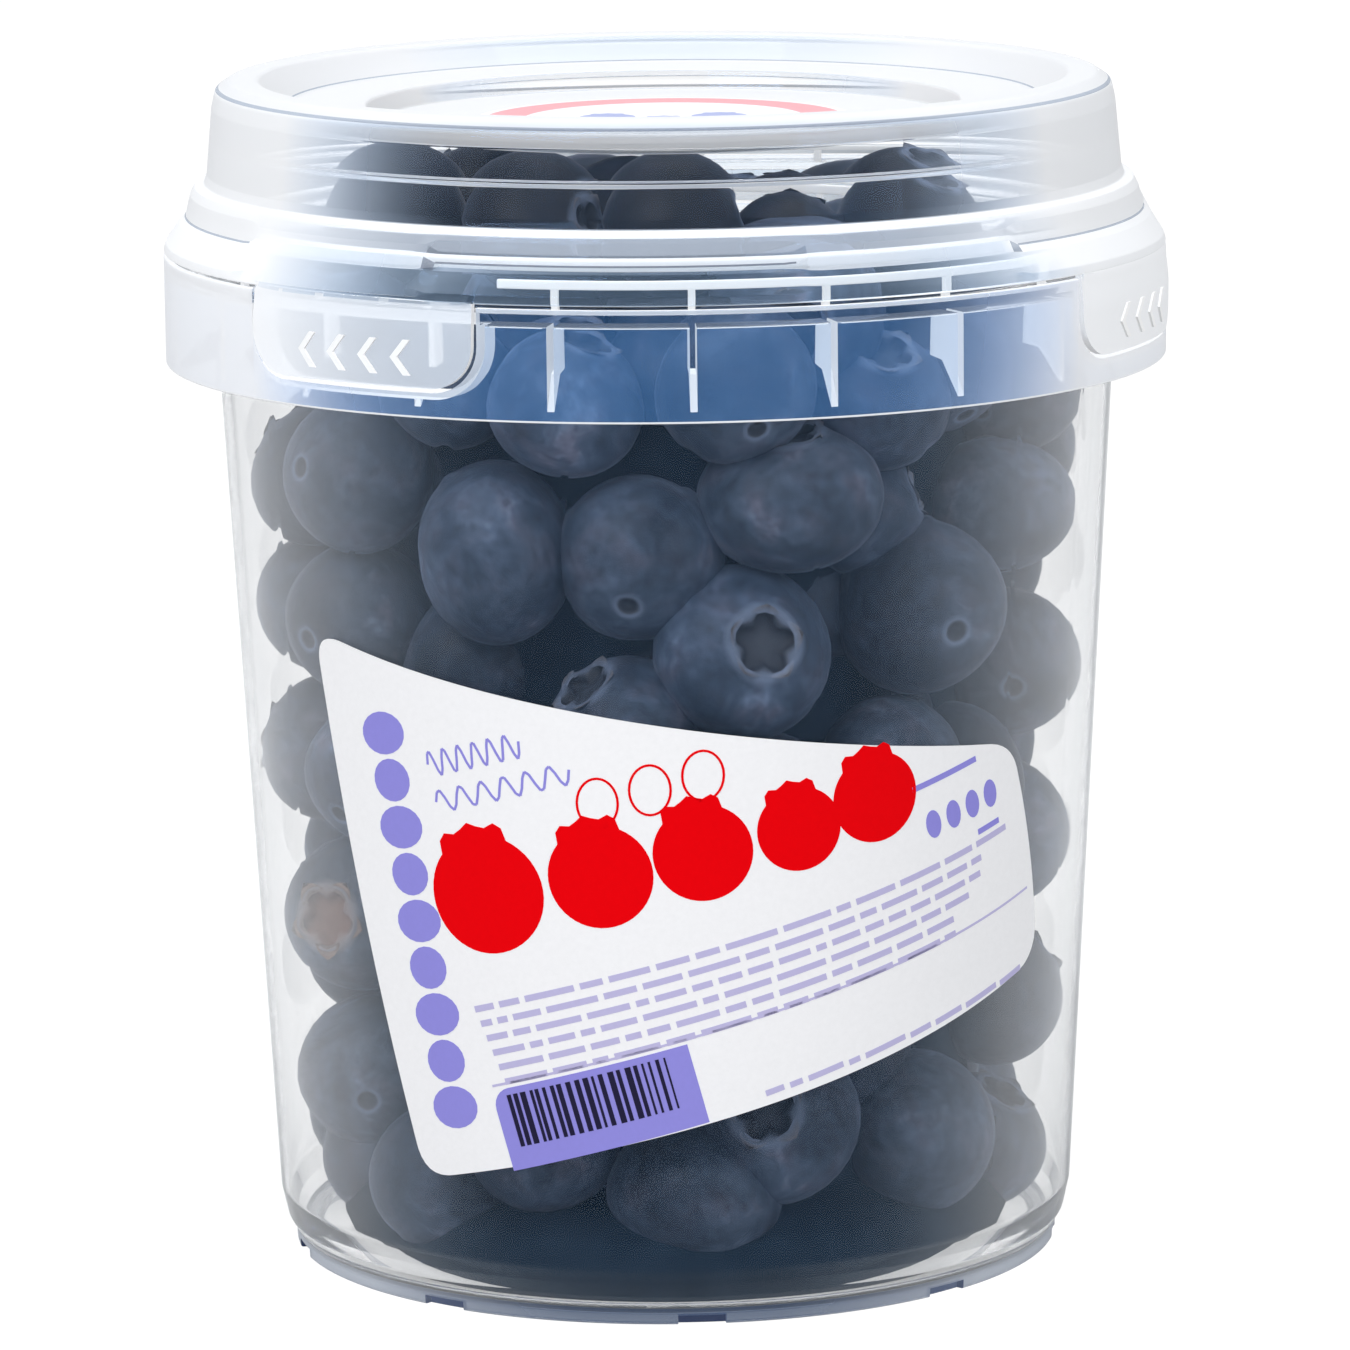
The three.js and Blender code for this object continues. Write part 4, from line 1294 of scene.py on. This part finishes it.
def make_papers():
    white = MATERIALS["paper"]
    label = laid_sheets("side_label_paper", [label_outline()], on_side, LABEL_LIFT, LABEL_THICK, white)
    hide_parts("side_label")
    label_print()

    sheet = oval((0, 0), STICKER_RADIUS, STICKER_RADIUS, 0, 96)
    sticker = laid_sheets("lid_sticker_paper", [sheet], on_lid, STICKER_LIFT, LABEL_THICK, white, strip=100)
    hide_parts("lid_sticker")
    inner, outer = STICKER_BAND
    band = []
    for i in range(72):
        a, b = tau * i / 72, tau * (i + 1) / 72
        band.append([polar(inner, a), polar(outer, a), polar(outer, b), polar(inner, b)])
    middle = [fruit(spot, 3.3, 0) for spot in ((-6.6, 1.0), (0, -2.2), (6.6, 1.0))]
    for name, shapes, ink in (
        ("sticker_print_red", band, "ink_rose"),
        ("sticker_print_blue", middle, "ink_blue"),
    ):
        lift = STICKER_LIFT + LABEL_THICK
        piece = laid_sheets(name, shapes, on_lid, lift, INK_THICK, MATERIALS[ink], strip=100)


def make_tab_marks():
    """A row of raised chevrons on each pull tab."""
    for number, azimuth in enumerate(TAB_AZIMUTHS):

        def on_tab(x, z, lift):
            return (*ring(azimuth + degrees(x / CURTAIN_RADIUS), tab_outer(z) + lift), z)

        shapes = []
        for i in range(MARK_COUNT):
            x = MARK_STEP * (i - (MARK_COUNT - 1) / 2)
            for end in (MARK_HEIGHT - 2, MARK_HEIGHT + 2):
                shapes.append([(x - 0.9, MARK_HEIGHT), (x, MARK_HEIGHT), (x + 1.7, end), (x + 0.8, end)])
        piece = laid_sheets(f"tab_mark_{number}", shapes, on_tab, 0.01, MARK_THICK, MATERIALS["mark"])


# Stage


def make_stage():
    scene = bpy.context.scene
    scene.view_settings.view_transform = "Standard"
    scene.world = bpy.data.worlds.new("studio")
    scene.world.use_nodes = True
    wires = Wiring(scene.world.node_tree)
    paths = wires.add("LightPath")
    seen = wires.measure("MAXIMUM", paths["Is Camera Ray"], paths["Is Transmission Ray"])
    lit = wires.mixed(paths["Is Glossy Ray"], SKY_GLOW, SKY_MIRRORED)
    wires.fill(wires.nodes["Background"], {"Color": wires.mixed(seen, lit, (1.0, 1.0, 1.0))})

    bpy.ops.mesh.primitive_plane_add(size=8)
    floor = bpy.context.object
    floor.name = "floor"
    material, surface, wires = shader("floor")
    paths = wires.add("LightPath")
    shade = wires.mixed(paths["Is Glossy Ray"], FLOOR_LIT, FLOOR_MIRRORED)
    shade = wires.mixed(paths["Is Transmission Ray"], shade, FLOOR_THROUGH)
    wires.fill(surface, {"Base Color": shade, "Roughness": 0.9})
    glow = wires.add("Emission", {"Strength": 1.12})[0]
    behind = wires.measure("MULTIPLY", paths["Is Transmission Ray"], 0.5)
    share = wires.measure("MULTIPLY_ADD", paths["Is Camera Ray"], 0.9, behind)
    wires.surface(wires.blend(share, surface.outputs[0], glow))
    floor.data.materials.append(material)

    for name, place, size, power, aim in LAMPS:
        light = bpy.data.lights.new(name, "AREA")
        light.size = size
        light.energy = power
        lamp = linked(name, light)
        lamp.location = place
        lamp.rotation_euler = (Vector((0, 0, aim)) - Vector(place)).to_track_quat("-Z", "Y").to_euler()

    camera = linked("camera", bpy.data.cameras.new("camera"))
    camera.data.lens = CAMERA_LENS
    camera.data.sensor_width = CAMERA_SENSOR
    camera.location = CAMERA_AT
    upright = Euler((pi / 2 - CAMERA_DOWN, 0, 0)).to_matrix()
    camera.rotation_euler = (upright @ Euler((0, 0, -CAMERA_ROLL)).to_matrix()).to_euler()
    scene.camera = camera


# Clear finishes: tint, haze and its colour seen straight on, haze and its colour seen
# edge on, and roughness.
CLEAR = {
    "body": ((1, 1, 1), 0.008, (0.45, 0.70, 1.0), 0.12, (0.95, 0.96, 0.97), 0.02),
    "skirt": ((0.86, 0.94, 1.0), 0.10, (0.14, 0.42, 1.0), 0.85, (0.94, 0.95, 0.98), 0.03),
    "fin": ((1, 1, 1), 0.75, (0.95, 0.97, 1.0), 0.92, (0.97, 0.98, 1.0), 0.1),
    # The foot's dark milk is painted shade: the shaded ground under the tub seen through the ring.
    "foot": ((0.9, 0.95, 1.0), 0.60, (0.09, 0.13, 0.22), 0.60, (0.60, 0.64, 0.72), 0.1),
    "lid": ((1, 1, 1), 0.01, (0.5, 0.7, 1.0), 0.92, (0.88, 0.89, 0.91), 0.02),
    "shoulder": ((0.95, 0.98, 1.0), 0.04, (0.45, 0.68, 1.0), 0.95, (0.92, 0.93, 0.95), 0.02),
    "ledge": ((1, 1, 1), 0.26, (0.74, 0.84, 1.0), 0.95, (0.88, 0.89, 0.91), 0.03),
    "panel": ((1, 1, 1), 0.02, (0.5, 0.7, 1.0), 0.86, (0.80, 0.81, 0.83), 0.02),
    # The dark line on the shoulder's flats and the lid's rims: dark milk painted to stand in for the dark
    # refraction at those edges.
    "crease": ((0.8, 0.85, 0.95), 0.65, (0.03, 0.05, 0.10), 0.70, (0.45, 0.50, 0.58), 0.02),
    # The notch windows' dark milk is painted shade: the shaded ground under the tub seen through them.
    "notch": ((0.9, 0.95, 1.0), 0.9, (0.015, 0.03, 0.09), 0.80, (0.12, 0.16, 0.28), 0.1),
    "tab": ((1, 1, 1), 0.40, (0.80, 0.88, 1.0), 0.95, (0.97, 0.98, 1.0), 0.12),
    "mark": ((1, 1, 1), 0.85, (0.95, 0.97, 1.0), 0.95, (1.0, 1.0, 1.0), 0.12),
}
TUB_FINISHES = ("body", "skirt", "fin", "foot", "notch")
LID_FINISHES = ("lid", "tab", "shoulder", "ledge", "crease", "panel")
INKS = {
    "ink_red": (0.84, 0.0, 0.003),
    "ink_violet": (0.29, 0.27, 0.73),
    "ink_fine": (0.52, 0.49, 0.74),
    "ink_dark": (0.018, 0.016, 0.045),
    "ink_rose": (0.88, 0.42, 0.46),
    "ink_blue": (0.42, 0.47, 0.74),
}
MATERIALS = {key: clear_plastic(f"{key}_plastic", *row) for key, row in CLEAR.items()}
MATERIALS.update({name: paper(name, colour) for name, colour in INKS.items()})
MATERIALS.update(
    berry=berry_skin(), crown=crown_skin(), core=painted_heap_shade(),
    paper=paper("label_paper", (0.92, 0.92, 0.94), 0.45),
)

make_stage()
make_tub()
make_lid()
make_berries()
make_papers()
make_tab_marks()
